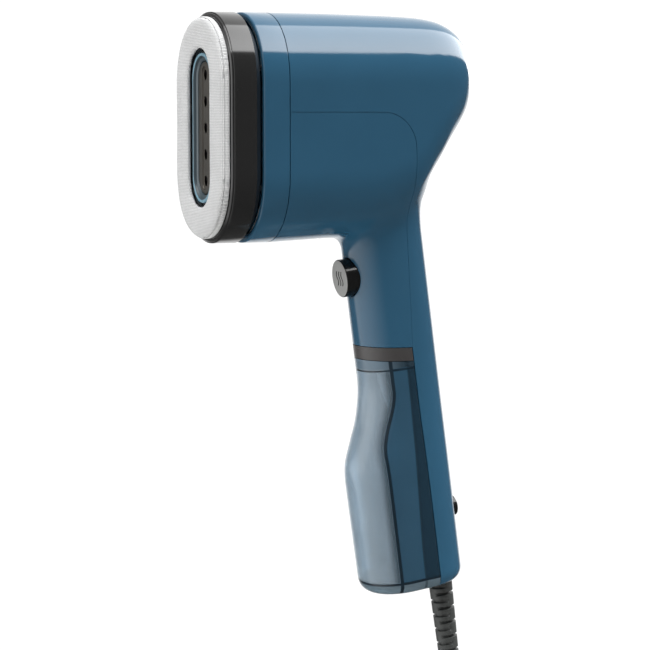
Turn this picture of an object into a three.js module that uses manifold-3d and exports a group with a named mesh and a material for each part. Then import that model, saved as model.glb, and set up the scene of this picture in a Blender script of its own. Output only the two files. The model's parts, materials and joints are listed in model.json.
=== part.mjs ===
// A handheld garment steamer, in millimetres. +Z is up, -Y is the way the steam blows,
// and the origin is where the hand closes round the grip. The grip leans, so the pieces
// in it are built along its own axis and turned into place by one group.
import * as THREE from 'three';
import { mergeVertices } from 'three/addons/utils/BufferGeometryUtils.js';
import { LoftGeometry } from 'three/addons/geometries/LoftGeometry.js';
import Module from 'manifold-3d';

const wasm = await Module();
wasm.setup();

// ---------------------------------------------------------------- driving dimensions
const TOUCH = 0.3;              // gap between pieces that rest on each other
const FIT = 0.4;                // clearance round a piece that slides or drops in
const WALL = 2.4;               // moulded housing walls
const TANK_WALL = 2.0;
const TANK_FLOOR = 4.6;         // the clear floor is thicker than the walls
const OVAL_POWER = 2.15;        // roundness of every oval section, 2 is a circle
const END_STEPS = 12;
const REACH = 400;              // half size of a cutting block, past the whole object
const PAST = 5;                 // how far a hole's cutter runs past what it goes through

const HEAD_WIDTH = 64.6;
const HEAD_HEIGHT = 101.9;
const HEAD_LENGTH = 98.6;       // from the collar seam to the rear
const HEAD_BOTTOM = 40.6;       // height of the underside over the grip centre
const SEAM_Y = -63.1;           // the seam between the collar and the body shells
const HEAD_MIDDLE = HEAD_BOTTOM + HEAD_HEIGHT / 2;

const COLLAR_DEPTH = 12.0;
const NECK_DEPTH = 3.3;
const RING_DEPTH = 10.7;
const RING_STEP = 0.1;          // the black ring is this much smaller all round
const NECK_STEP = 2.6;
const FLANGE = 2.4;

const GRIP_TILT = THREE.MathUtils.degToRad(7.6);
const GRIP_HALF_DEPTH = 18.45;
const GRIP_HALF_WIDTH = 18.0;
const GRIP_BELOW = 120.6;       // from the grip centre down to the foot, along the grip
const TANK_BULGE = 12.0;
const TANK_FLARE = 1.6;
const TANK_START = 14;          // where the tank's outline starts, along the grip
const SPLIT = 1.25;             // the tank's flat back, across the grip axis
const BAND_TOP = -7.8;          // the black lid band, at level heights
const BAND_HEIGHT = 5.9;

const SEAM_Z = 98.4;            // the level part of the seam along the head's side
const SEAM_TURN_Y = -18.5;
const SEAM_RADIUS = 15.9;

const PAD_DEPTH = 2.6;
const PAD_INSET = 2.4;          // the pad is smaller than the head by this all round
const CARRIER_DEPTH = 1.2;
const TRIM_HALF_WIDTH = 12.1;
const TRIM_HALF_HEIGHT = 33;
const TRIM_WALL = 3.5;
const TRIM_PROUD = 2.4;
const TRIM_DEPTH = 9.2;
const PAD_SLOT = 1.9;           // clear width between the trim and the pad
const SOLE_DEPTH = 1.6;
const STEAM_HOLES = 5;
const STEAM_HOLE_RADIUS = 2.2;
const STEAM_HOLE_PITCH = 11.65;

const CHAMBER_WALL = 3.0;
const CHAMBER_HALF_WIDTH = 14.4;
const CHAMBER_HALF_HEIGHT = 34;
const CHAMBER_DEPTH = 18.6;
const SNOUT_WALL = 2.0;
const HEATER_RADIUS = 3.2;
const HEATER_SPREAD = 10;

const BUTTON_RADIUS = 8.7;
const BUTTON_UP = 26.4;         // height of the button's axis along the grip
const BUTTON_PROUD = 4.4;
const BUTTON_TRAVEL = 3.0;
const BUTTON_LENGTH = 13.6;
const POWER_RADIUS = 4.7;
const POWER_DOWN = 88.5;
const POWER_PROUD = 2.5;
const POWER_TRAVEL = 1.0;

const PUMP_RADIUS = 10;
const PUMP_LENGTH = 40;
const PUMP_Z = 46;
const PUMP_Y = 2;
const PLUNGER_RADIUS = 4;
const PLUNGER_TRAVEL = 3.0;

const RELIEF_Y = 9.3;
const RELIEF_LENGTH = 42;
const RELIEF_RADIUS = 5.6;
const RELIEF_TIP_RADIUS = 4.5;
const RELIEF_RIBS = 8;
const CORD_RADIUS = 3.5;
const COIL_RADIUS = 38.5;       // middle of the turns
const COIL_HALF = 10.8;         // half of the bundle, in radius and in thickness
const COIL_Y = 23;
const COIL_Z = -232;
const PLUG_HALF_WIDTH = 13;
const PLUG_HALF_DEPTH = 7;
const PLUG_LENGTH = 32;
const PIN_SPREAD = 9.5;

const BOARD_HALF_WIDTH = 10;
const BOARD_Y = 8.2;
const BOARD_THICKNESS = 1.6;
const SCREW_RADIUS = 1.4;
const SCREW_HEAD_RADIUS = 2.8;
const SCREW_HEAD_DEPTH = 2.0;
const SCREW_LENGTH = 8.5;

// ---------------------------------------------------------------- solids and cuts
function solid(geometry) {
  const plain = new THREE.BufferGeometry();
  plain.setAttribute('position', geometry.getAttribute('position'));
  plain.setIndex(geometry.index);
  const merged = mergeVertices(plain, 1e-4);
  const index = merged.index.array;
  const triangles = [];
  for (let i = 0; i < index.length; i += 3) {
    const [a, b, c] = [index[i], index[i + 1], index[i + 2]];
    if (a !== b && b !== c && c !== a) triangles.push(a, b, c);
  }
  return new wasm.Manifold(new wasm.Mesh({
    numProp: 3,
    vertProperties: Float32Array.from(merged.attributes.position.array),
    triVerts: Uint32Array.from(triangles),
  }));
}

function geometryOf(manifold) {
  const mesh = manifold.getMesh();
  const geometry = new THREE.BufferGeometry();
  geometry.setAttribute('position', new THREE.BufferAttribute(mesh.vertProperties, 3));
  geometry.setIndex(new THREE.BufferAttribute(mesh.triVerts, 1));
  geometry.computeVertexNormals();
  return geometry;
}

function blockSolid(low, high) {
  const size = high.map((value, axis) => value - low[axis]);
  const geometry = new THREE.BoxGeometry(...size);
  geometry.translate(...low.map((value, axis) => value + size[axis] / 2));
  return solid(geometry);
}

// A rod from one point to another, all coordinates in the caller's frame.
function rodGeometry(from, to, radius, sides = 20) {
  const start = new THREE.Vector3(...from);
  const along = new THREE.Vector3(...to).sub(start);
  const geometry = new THREE.CylinderGeometry(radius, radius, along.length(), sides);
  geometry.translate(0, along.length() / 2, 0);
  const turn = new THREE.Quaternion().setFromUnitVectors(
    new THREE.Vector3(0, 1, 0), along.clone().normalize());
  geometry.applyQuaternion(turn);
  geometry.translate(...from);
  return geometry;
}

function rodSolid(from, to, radius, sides = 20) {
  return solid(rodGeometry(from, to, radius, sides));
}

// Turned pieces: [radius, height] pairs round an axis that starts at a point.
function turnedGeometry(profile, at, direction, sides = 20) {
  const points = profile.map(([radius, height]) => new THREE.Vector2(radius, height));
  const geometry = new THREE.LatheGeometry(points, sides);
  const turn = new THREE.Quaternion().setFromUnitVectors(
    new THREE.Vector3(0, 1, 0), new THREE.Vector3(...direction).normalize());
  geometry.applyQuaternion(turn);
  geometry.translate(...at);
  return geometry;
}

// A tube or wire along a smooth curve through the given points.
function tubeGeometry(points, radius, steps, sides = 8) {
  const curve = new THREE.CatmullRomCurve3(points.map((point) => new THREE.Vector3(...point)));
  const section = new THREE.Shape();
  for (let side = 0; side < sides; side += 1) {
    const angle = (2 * Math.PI * side) / sides;
    const [x, y] = [radius * Math.cos(angle), radius * Math.sin(angle)];
    if (side === 0) section.moveTo(x, y);
    else section.lineTo(x, y);
  }
  return new THREE.ExtrudeGeometry(section, { steps, extrudePath: curve, bevelEnabled: false });
}

// ---------------------------------------------------------------- ovals and lofts
// An oval has straight sides and rounded ends when it is longer than it is wide.
function ovalPoints(halfWidth, halfLength) {
  const straight = Math.max(halfLength - halfWidth, 0.4);
  const end = halfLength - straight;
  const points = [];
  for (const side of [1, -1]) {
    for (let step = 0; step <= END_STEPS; step += 1) {
      const angle = (Math.PI * step) / END_STEPS;
      const [c, s] = [side * Math.cos(angle), side * Math.sin(angle)];
      const across = Math.sign(c) * Math.abs(c) ** (2 / OVAL_POWER);
      const along = Math.sign(s) * Math.abs(s) ** (2 / OVAL_POWER);
      points.push(new THREE.Vector2(halfWidth * across, side * straight + end * along));
    }
  }
  return points;
}

// Joins cross sections of equal point count into one closed skin, whichever way they run.
function loftSolid(sections) {
  const [first, last] = [sections[0], sections[sections.length - 1]];
  const third = Math.floor(first.length / 3);
  const facing = new THREE.Triangle(first[0], first[third], first[2 * third])
    .getNormal(new THREE.Vector3());
  const forward = facing.dot(last[0].clone().sub(first[0])) > 0;
  const ordered = forward ? sections : [...sections].reverse();
  return solid(new LoftGeometry(ordered, { capStart: true, capEnd: true }));
}

// A slab with an oval or other outline in X and Z, between two depths.
function slabGeometry(points, frontY, rearY) {
  const geometry = new THREE.ExtrudeGeometry(new THREE.Shape(points), {
    depth: rearY - frontY, bevelEnabled: false,
  });
  geometry.rotateX(Math.PI / 2);
  geometry.translate(0, rearY, 0);
  return geometry;
}

function headOval(halfWidth, halfHeight, frontY, rearY) {
  const form = solid(slabGeometry(ovalPoints(halfWidth, halfHeight), frontY, rearY));
  return form.translate([0, 0, HEAD_MIDDLE]);
}

// A shape drawn in Y and Z, made into a block right across X.
function profileSolid(shape) {
  const geometry = new THREE.ExtrudeGeometry(shape, {
    depth: 2 * REACH, bevelEnabled: false, curveSegments: 10,
  });
  geometry.applyMatrix4(new THREE.Matrix4().makeBasis(
    new THREE.Vector3(0, 1, 0), new THREE.Vector3(0, 0, 1), new THREE.Vector3(1, 0, 0)));
  geometry.translate(-REACH, 0, 0);
  return solid(geometry);
}

// ---------------------------------------------------------------- the body's form
// Stations along the head: share of its length, how far the top has dropped and the
// underside has risen as shares of its height, and its width as a share.
const HEAD_STATIONS = [
  [0.000, 0.000, 0.000, 1.000],
  [0.272, 0.001, 0.012, 0.998],
  [0.432, 0.003, 0.020, 0.992],
  [0.633, 0.007, 0.090, 0.975],
  [0.775, 0.016, 0.262, 0.925],
  [0.856, 0.034, 0.380, 0.840],
  [0.916, 0.067, 0.462, 0.720],
  [0.960, 0.123, 0.520, 0.520],
  [0.988, 0.196, 0.592, 0.300],
  [1.000, 0.294, 0.677, 0.040],
];

function headForm(inset) {
  const height = HEAD_HEIGHT - 2 * inset;
  const length = HEAD_LENGTH - inset;
  const top = HEAD_MIDDLE + height / 2;
  const bottom = HEAD_MIDDLE - height / 2;
  const sections = HEAD_STATIONS.map(([along, drop, rise, width]) => {
    const high = top - drop * height;
    const low = bottom + rise * height;
    const halfLength = (high - low) / 2;
    const halfWidth = Math.min((HEAD_WIDTH / 2 - inset) * width, halfLength);
    const y = SEAM_Y + along * length;
    return ovalPoints(halfWidth, halfLength)
      .map((point) => new THREE.Vector3(point.x, y, point.y + (high + low) / 2));
  });
  if (inset > 0) {
    const first = sections[0].map((point) => point.clone().setY(SEAM_Y - inset));
    sections.unshift(first);
  }
  return loftSolid(sections);
}

// Stations down the tank: share of the way to the foot, and share of the bulge and flare.
const TANK_STATIONS = [
  [0.123, 0.03, 0.00],
  [0.251, 0.29, 0.10],
  [0.335, 0.59, 0.40],
  [0.446, 0.95, 0.75],
  [0.575, 1.00, 0.95],
  [0.764, 0.98, 1.00],
  [0.943, 0.96, 1.00],
];
const FOOT_ROUND = 4.4;
const FOOT_EDGE = 1.5;
// Above the button the grip swells forward, to the rear and to the sides, into the head:
// height along the grip, then how far it swells in each of the three.
const SWELL_STATIONS = [
  [33.0, 0.0, 0.0, 0.0],
  [37.0, 1.3, 0.0, 0.2],
  [40.5, 4.4, 0.0, 0.5],
  [43.5, 9.6, 0.0, 0.8],
  [56.0, 9.6, 1.4, 1.8],
  [64.0, 6.0, 3.8, 3.4],
  [72.0, 0.0, 6.0, 5.0],
];

function gripForm(inset) {
  const rows = SWELL_STATIONS.slice().reverse().map(([up, front, rear, side]) => ({
    z: up,
    front: -GRIP_HALF_DEPTH - front,
    rear: GRIP_HALF_DEPTH + rear,
    side: GRIP_HALF_WIDTH + side,
  }));
  const plain = { front: -GRIP_HALF_DEPTH, rear: GRIP_HALF_DEPTH, side: GRIP_HALF_WIDTH };
  rows.push({ z: -TANK_START, ...plain });
  const reach = GRIP_BELOW - inset - TANK_START;
  for (const [share, bulge, flare] of TANK_STATIONS) {
    rows.push({
      z: -TANK_START - share * reach,
      front: -GRIP_HALF_DEPTH - bulge * TANK_BULGE,
      rear: GRIP_HALF_DEPTH,
      side: GRIP_HALF_WIDTH + flare * TANK_FLARE,
    });
  }
  const last = rows[rows.length - 1];
  const foot = -GRIP_BELOW + inset;
  for (const [rise, round] of [[FOOT_EDGE, FOOT_EDGE], [0, FOOT_ROUND]]) {
    rows.push({
      z: foot + rise, front: last.front + round, rear: last.rear - round, side: last.side - round,
    });
  }
  const sections = rows.map(({ z, front, rear, side }) => {
    const halfLength = (rear - front) / 2 - inset;
    const middle = (rear + front) / 2;
    return ovalPoints(side - inset, Math.max(halfLength, side - inset + 0.4))
      .map((point) => new THREE.Vector3(point.x, point.y + middle, z));
  });
  return loftSolid(sections);
}

const gripTurn = new THREE.Matrix4().makeRotationX(GRIP_TILT);

function turned(form) {
  return form.rotate([THREE.MathUtils.radToDeg(GRIP_TILT), 0, 0]);
}

function unturned(form) {
  return form.rotate([-THREE.MathUtils.radToDeg(GRIP_TILT), 0, 0]);
}

function gripToWorld(x, y, z) {
  return new THREE.Vector3(x, y, z).applyMatrix4(gripTurn).toArray();
}

// ---------------------------------------------------------------- seams between the shells
// The front housing lies under the seam and in front of it. The seam runs back along the
// head's side, turns down in an arc and goes on to the corner over the tank's flat back.
function frontRegion(grow) {
  const [, cornerY, cornerZ] = gripToWorld(0, SPLIT, BAND_TOP / Math.cos(GRIP_TILT));
  const shape = new THREE.Shape();
  shape.moveTo(-REACH, SEAM_Z + grow);
  shape.lineTo(SEAM_TURN_Y, SEAM_Z + grow);
  shape.absarc(SEAM_TURN_Y, SEAM_Z - SEAM_RADIUS, SEAM_RADIUS + grow, Math.PI / 2, 0, true);
  shape.lineTo(cornerY + grow, cornerZ);
  shape.lineTo(cornerY + grow + REACH * Math.sin(GRIP_TILT), cornerZ - REACH * Math.cos(GRIP_TILT));
  shape.lineTo(-REACH, cornerZ - REACH * Math.cos(GRIP_TILT));
  shape.closePath();
  return profileSolid(shape);
}

function levelSlab(lowZ, highZ) {
  return blockSolid([-REACH, -REACH, lowZ], [REACH, REACH, highZ]);
}

// In the grip's own frame.
function acrossSlab(lowY, highY) {
  return blockSolid([-REACH, lowY, -REACH], [REACH, highY, REACH]);
}

const bodyOuter = headForm(0).add(turned(gripForm(0)));
const bodyInner = headForm(WALL).add(turned(gripForm(WALL)));
const bodyShell = bodyOuter.subtract(bodyInner)
  .subtract(blockSolid([-REACH, -REACH, HEAD_BOTTOM - 1], [REACH, SEAM_Y, REACH]));

const BUTTON_HOLE_RADIUS = BUTTON_RADIUS + FIT;
const BUTTON_FACE = -GRIP_HALF_DEPTH - BUTTON_PROUD;
const BUTTON_BACK = BUTTON_FACE + BUTTON_LENGTH;
const SOCKET_Y = -8;
const SOCKET_RADIUS = 6.5;
const FILLER_Y = -7.5;
const FILLER_X = 8.9;
const FILLER_RADIUS = 3.2;
const PLUG_ROOM_RADIUS = 4.2;

// ---------------------------------------------------------------- pieces
const steamer = new THREE.Group();
const grip = new THREE.Group();
grip.rotation.x = GRIP_TILT;
steamer.add(grip);

const FINISHES = {
  blue_housing: new THREE.MeshStandardMaterial({ color: 0x2e5068, roughness: 0.22 }),
  black_plastic: new THREE.MeshStandardMaterial({ color: 0x262829, roughness: 0.35 }),
  dark_blue: new THREE.MeshStandardMaterial({ color: 0x16222c, roughness: 0.4 }),
  light_blue: new THREE.MeshStandardMaterial({ color: 0x5b8fae, roughness: 0.3 }),
  clear_tank: new THREE.MeshStandardMaterial({ color: 0x3f6076, roughness: 0.12 }),
  pad_cloth: new THREE.MeshStandardMaterial({ color: 0xcfd0d1, roughness: 0.95 }),
  sole_metal: new THREE.MeshStandardMaterial({ color: 0x4b4a47, roughness: 0.35, metalness: 1 }),
  cast_metal: new THREE.MeshStandardMaterial({ color: 0xa9acae, roughness: 0.5, metalness: 1 }),
  steel: new THREE.MeshStandardMaterial({ color: 0x9ea1a5, roughness: 0.3, metalness: 1 }),
  brass: new THREE.MeshStandardMaterial({ color: 0xb79a55, roughness: 0.3, metalness: 1 }),
  rubber: new THREE.MeshStandardMaterial({ color: 0x2b2d2c, roughness: 0.7 }),
  hose: new THREE.MeshStandardMaterial({ color: 0xd9dcdc, roughness: 0.4 }),
  board: new THREE.MeshStandardMaterial({ color: 0x2c5a3a, roughness: 0.5 }),
};

function addPiece(parent, name, form, finish) {
  const geometry = form.isBufferGeometry ? form : geometryOf(form);
  const mesh = new THREE.Mesh(geometry, FINISHES[finish]);
  mesh.name = name;
  parent.add(mesh);
  return mesh;
}

// A screw with its head at a point and its shank going along a direction.
function screwGeometry(at, direction, length) {
  const profile = [
    [0, 0],
    [SCREW_HEAD_RADIUS, 0],
    [SCREW_HEAD_RADIUS, SCREW_HEAD_DEPTH],
    [SCREW_RADIUS, SCREW_HEAD_DEPTH],
    [SCREW_RADIUS, length],
    [0, length],
  ];
  return turnedGeometry(profile, at, direction, 12);
}

function screwHole(at, direction, length) {
  const end = at.map((value, axis) => value + direction[axis] * length);
  return rodSolid(at, end, SCREW_RADIUS + FIT, 16);
}

// -------- body shells
function frontHousing() {
  const floor = turned(gripForm(WALL / 2))
    .intersect(levelSlab(BAND_TOP + TOUCH, BAND_TOP + TOUCH + WALL));
  const skin = bodyShell.intersect(levelSlab(BAND_TOP + TOUCH, REACH));
  const buttonHole = rodSolid(
    [0, BUTTON_FACE - PAST, BUTTON_UP], [0, 0, BUTTON_UP], BUTTON_HOLE_RADIUS, 32);
  const [low, high] = [BAND_TOP - PAST, BAND_TOP + WALL + PAST];
  const socketHole = rodSolid([0, SOCKET_Y, low], [0, SOCKET_Y, high], SOCKET_RADIUS + TOUCH);
  const plugHole = rodSolid([FILLER_X, FILLER_Y, low], [FILLER_X, FILLER_Y, high], PLUG_ROOM_RADIUS);
  return skin.add(floor).intersect(frontRegion(0))
    .subtract(turned(buttonHole))
    .subtract(turned(socketHole))
    .subtract(turned(plugHole));
}

const CLAMP_SCREW_X = 9.5;
const CLAMP_TOP = -103;
const CLAMP_FRONT = SPLIT + TOUCH;
const RELIEF_GROOVE = 0.9;
const RELIEF_SEAT = -GRIP_BELOW + 6.5;
const CLAMP_LOW = RELIEF_SEAT + 1.4 + TOUCH;
const CLAMP_Z = (CLAMP_TOP + CLAMP_LOW) / 2;
const CLAMP_DEPTH = 3.8;
const DOCK_DEPTH = 3.4;
const DOCK_SCREW_UP = 23;
const DOCK_SCREW_LOW = 98;
const BOSS_RADIUS = 2.9;

const dockScrews = [-DOCK_SCREW_UP, -DOCK_SCREW_LOW].map((z) => [0, SPLIT + TOUCH, z]);

// Room for a screw's head, from well in front of it to just behind it.
function headPocket(at) {
  const front = [at[0], at[1] - PAST, at[2]];
  const rear = [at[0], at[1] + SCREW_HEAD_DEPTH + TOUCH, at[2]];
  return rodSolid(front, rear, SCREW_HEAD_RADIUS + TOUCH, 16);
}

function rearCover() {
  const back = CLAMP_FRONT + CLAMP_DEPTH + TOUCH;
  const dockBack = SPLIT + DOCK_DEPTH + TOUCH;
  const posts = [
    [[-CLAMP_SCREW_X, back, CLAMP_Z], GRIP_HALF_DEPTH - WALL],
    [[CLAMP_SCREW_X, back, CLAMP_Z], GRIP_HALF_DEPTH - WALL],
    [[0, dockBack, -DOCK_SCREW_UP], GRIP_HALF_DEPTH - WALL / 2],
    [[0, dockBack, -DOCK_SCREW_LOW], GRIP_HALF_DEPTH - WALL / 2],
  ];
  let shell = unturned(bodyShell.subtract(frontRegion(TOUCH)));
  const inside = gripForm(WALL / 2);
  for (const [at, end] of posts) {
    const post = rodSolid(at, [at[0], end, at[2]], BOSS_RADIUS).intersect(inside);
    shell = shell.add(post);
  }
  for (const [at] of posts) shell = shell.subtract(screwHole(at, [0, 1, 0], SCREW_LENGTH));
  const powerHole = rodSolid(
    [0, SPLIT, -POWER_DOWN], [0, GRIP_HALF_DEPTH + PAST, -POWER_DOWN], POWER_RADIUS + FIT);
  const cordHole = rodSolid(
    [0, RELIEF_Y, -GRIP_BELOW - PAST], [0, RELIEF_Y, RELIEF_SEAT - TOUCH], RELIEF_RADIUS + TOUCH);
  return turned(shell.subtract(powerHole).subtract(cordHole));
}

function dockWall() {
  const wall = gripForm(WALL + TOUCH)
    .intersect(acrossSlab(SPLIT, SPLIT + DOCK_DEPTH))
    .intersect(blockSolid([-REACH, -REACH, CLAMP_TOP + TOUCH], [REACH, REACH, BAND_TOP - 2]));
  return dockScrews.reduce((rest, at) => rest
    .subtract(screwHole(at, [0, 1, 0], SCREW_LENGTH))
    .subtract(headPocket(at)), wall);
}

addPiece(steamer, 'front_housing', frontHousing(), 'blue_housing');
addPiece(steamer, 'rear_cover', rearCover(), 'blue_housing');
addPiece(grip, 'dock_wall', dockWall(), 'dark_blue');
dockScrews.forEach((at, number) => {
  addPiece(grip, `dock_screw_${number + 1}`, screwGeometry(at, [0, 1, 0], SCREW_LENGTH), 'steel');
});

// -------- steam head, from the collar forward
const COLLAR_REAR = SEAM_Y - TOUCH;
const COLLAR_FRONT = COLLAR_REAR - COLLAR_DEPTH;
const NECK_REAR = COLLAR_FRONT - TOUCH;
const NECK_FRONT = NECK_REAR - NECK_DEPTH;
const RING_REAR = NECK_FRONT - TOUCH;
const RING_FRONT = RING_REAR - RING_DEPTH;
const CHAMBER_HOLE = [CHAMBER_HALF_WIDTH + FIT, CHAMBER_HALF_HEIGHT + FIT];
const MOUNT_DEPTH = 2.5;
const MOUNT_FRONT = COLLAR_FRONT + FLANGE + TOUCH;
const MOUNT_REAR = MOUNT_FRONT + MOUNT_DEPTH;
const HEAD_SCREW_X = 22;
const HEAD_SCREW_Z = 26;
const HEAD_SCREW_LENGTH = 13;
const headScrews = [[-1, 1], [1, 1], [-1, -1], [1, -1]].map(([side, level]) => [
  side * HEAD_SCREW_X, MOUNT_REAR + TOUCH + SCREW_HEAD_DEPTH, HEAD_MIDDLE + level * HEAD_SCREW_Z,
]);

function withHeadScrewHoles(form) {
  return headScrews.reduce(
    (rest, at) => rest.subtract(screwHole(at, [0, -1, 0], HEAD_SCREW_LENGTH + TOUCH)), form);
}

function headCollar() {
  const tube = headOval(HEAD_WIDTH / 2, HEAD_HEIGHT / 2, COLLAR_FRONT, COLLAR_REAR)
    .subtract(headOval(HEAD_WIDTH / 2 - WALL, HEAD_HEIGHT / 2 - WALL, COLLAR_FRONT + FLANGE, SEAM_Y));
  return withHeadScrewHoles(tube.subtract(headOval(...CHAMBER_HOLE, COLLAR_FRONT - PAST, SEAM_Y)));
}

function neckSpacer() {
  const plate = headOval(
    HEAD_WIDTH / 2 - NECK_STEP, HEAD_HEIGHT / 2 - NECK_STEP, NECK_FRONT, NECK_REAR);
  return withHeadScrewHoles(plate.subtract(headOval(...CHAMBER_HOLE, NECK_FRONT - PAST, NECK_REAR + PAST)));
}

const TRIM_FRONT = RING_FRONT - TRIM_PROUD;
const TRIM_REAR = TRIM_FRONT + TRIM_DEPTH;
const MAGNET_RADIUS = 3.5;
const MAGNET_DEPTH = 3;
const MAGNET_Z = 42.6;
const LIP_DEPTH = 2.2;
const LIP_STEP = 0.8;

function steamRing() {
  const halfWidth = HEAD_WIDTH / 2 - RING_STEP;
  const halfHeight = HEAD_HEIGHT / 2 - RING_STEP;
  let ring = headOval(halfWidth, halfHeight, RING_FRONT + LIP_DEPTH, RING_REAR)
    .add(headOval(halfWidth - LIP_STEP, halfHeight - LIP_STEP, RING_FRONT, RING_REAR - LIP_DEPTH))
    .subtract(headOval(
      TRIM_HALF_WIDTH + FIT, TRIM_HALF_HEIGHT + FIT, RING_FRONT - PAST, TRIM_REAR + TOUCH))
    .subtract(headOval(...CHAMBER_HOLE, TRIM_REAR, RING_REAR + PAST));
  for (const side of [-1, 1]) {
    const z = HEAD_MIDDLE + side * MAGNET_Z;
    ring = ring.subtract(rodSolid(
      [0, RING_FRONT - PAST, z], [0, RING_FRONT + MAGNET_DEPTH + 2 * TOUCH, z], MAGNET_RADIUS + FIT));
  }
  return withHeadScrewHoles(ring);
}

function trimRing() {
  return headOval(TRIM_HALF_WIDTH, TRIM_HALF_HEIGHT, TRIM_FRONT, TRIM_REAR).subtract(headOval(
    TRIM_HALF_WIDTH - TRIM_WALL, TRIM_HALF_HEIGHT - TRIM_WALL, TRIM_FRONT - PAST, TRIM_REAR + PAST));
}

const SOLE_HALF_WIDTH = TRIM_HALF_WIDTH - TRIM_WALL - FIT;
const SOLE_HALF_HEIGHT = TRIM_HALF_HEIGHT - TRIM_WALL - FIT;
const SOLE_FRONT = TRIM_FRONT + 0.4;
const SOLE_REAR = SOLE_FRONT + SOLE_DEPTH;
const GASKET_DEPTH = 0.6;
const SNOUT_FRONT = SOLE_REAR + GASKET_DEPTH + 2 * TOUCH;
const CHAMBER_FRONT = TRIM_REAR + 2 * TOUCH;
const CHAMBER_REAR = CHAMBER_FRONT + CHAMBER_DEPTH;

function solePlate() {
  const start = HEAD_MIDDLE - ((STEAM_HOLES - 1) * STEAM_HOLE_PITCH) / 2;
  let plate = headOval(SOLE_HALF_WIDTH, SOLE_HALF_HEIGHT, SOLE_FRONT, SOLE_REAR);
  for (let hole = 0; hole < STEAM_HOLES; hole += 1) {
    const z = start + hole * STEAM_HOLE_PITCH;
    plate = plate.subtract(rodSolid([0, SOLE_FRONT - PAST, z], [0, SOLE_REAR + PAST, z], STEAM_HOLE_RADIUS));
  }
  return plate;
}

function soleGasket() {
  const [front, rear] = [SOLE_REAR + TOUCH, SOLE_REAR + TOUCH + GASKET_DEPTH];
  return headOval(SOLE_HALF_WIDTH, SOLE_HALF_HEIGHT, front, rear).subtract(headOval(
    SOLE_HALF_WIDTH - SNOUT_WALL, SOLE_HALF_HEIGHT - SNOUT_WALL, front - PAST, rear + PAST));
}

function chamberBody() {
  const snout = headOval(SOLE_HALF_WIDTH, SOLE_HALF_HEIGHT, SNOUT_FRONT, CHAMBER_FRONT + CHAMBER_WALL / 2);
  const bore = headOval(SOLE_HALF_WIDTH - SNOUT_WALL, SOLE_HALF_HEIGHT - SNOUT_WALL,
    SNOUT_FRONT - PAST, CHAMBER_FRONT + CHAMBER_WALL + PAST);
  const room = headOval(CHAMBER_HALF_WIDTH - CHAMBER_WALL, CHAMBER_HALF_HEIGHT - CHAMBER_WALL,
    CHAMBER_FRONT + CHAMBER_WALL, CHAMBER_REAR - CHAMBER_WALL);
  return headOval(CHAMBER_HALF_WIDTH, CHAMBER_HALF_HEIGHT, CHAMBER_FRONT, CHAMBER_REAR)
    .add(snout)
    .subtract(bore)
    .subtract(room);
}

function chamberMount() {
  const plate = headOval(HEAD_WIDTH / 2 - WALL - FIT, HEAD_HEIGHT / 2 - WALL - FIT,
    MOUNT_FRONT, MOUNT_REAR);
  return withHeadScrewHoles(
    plate.subtract(headOval(...CHAMBER_HOLE, MOUNT_FRONT - PAST, MOUNT_REAR + PAST)));
}

addPiece(steamer, 'head_collar', headCollar(), 'blue_housing');
addPiece(steamer, 'neck_spacer', neckSpacer(), 'dark_blue');
addPiece(steamer, 'steam_ring', steamRing(), 'black_plastic');
addPiece(steamer, 'trim_ring', trimRing(), 'light_blue');
addPiece(steamer, 'sole_plate', solePlate(), 'sole_metal');
addPiece(steamer, 'sole_gasket', soleGasket(), 'rubber');
addPiece(steamer, 'steam_chamber', chamberBody(), 'cast_metal');
addPiece(steamer, 'chamber_mount', chamberMount(), 'black_plastic');
headScrews.forEach((at, number) => {
  addPiece(steamer, `head_screw_${number + 1}`,
    screwGeometry(at, [0, -1, 0], HEAD_SCREW_LENGTH), 'steel');
});

// -------- what is fixed to the back of the steam chamber
const BACK = CHAMBER_REAR + TOUCH;
const HEATER_Y = BACK + HEATER_RADIUS;
const HEATER_LOW = HEAD_MIDDLE - 22;
const HEATER_HIGH = HEAD_MIDDLE + 20;
const THERMOSTAT_RADIUS = 6;
const THERMOSTAT_DEPTH = 7;
const INLET_Z = HEAD_MIDDLE + 15;
const INLET_RADIUS = 3.6;
const INLET_LENGTH = 8;

function heatingElement() {
  const points = [[-HEATER_SPREAD, HEATER_LOW]];
  for (let turn = 0; turn <= 6; turn += 1) {
    const angle = Math.PI - (Math.PI * turn) / 6;
    points.push([HEATER_SPREAD * Math.cos(angle), HEATER_HIGH + HEATER_SPREAD * Math.sin(angle)]);
  }
  points.push([HEATER_SPREAD, HEATER_LOW]);
  return tubeGeometry(points.map(([x, z]) => [x, HEATER_Y, z]), HEATER_RADIUS, 24, 10);
}

function chamberInlet() {
  const profile = [
    [0, 0], [INLET_RADIUS, 0], [INLET_RADIUS, 3], [2.0, 3.6], [2.0, INLET_LENGTH], [0, INLET_LENGTH],
  ];
  return turnedGeometry(profile, [0, BACK, INLET_Z], [0, 1, 0], 16);
}

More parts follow.
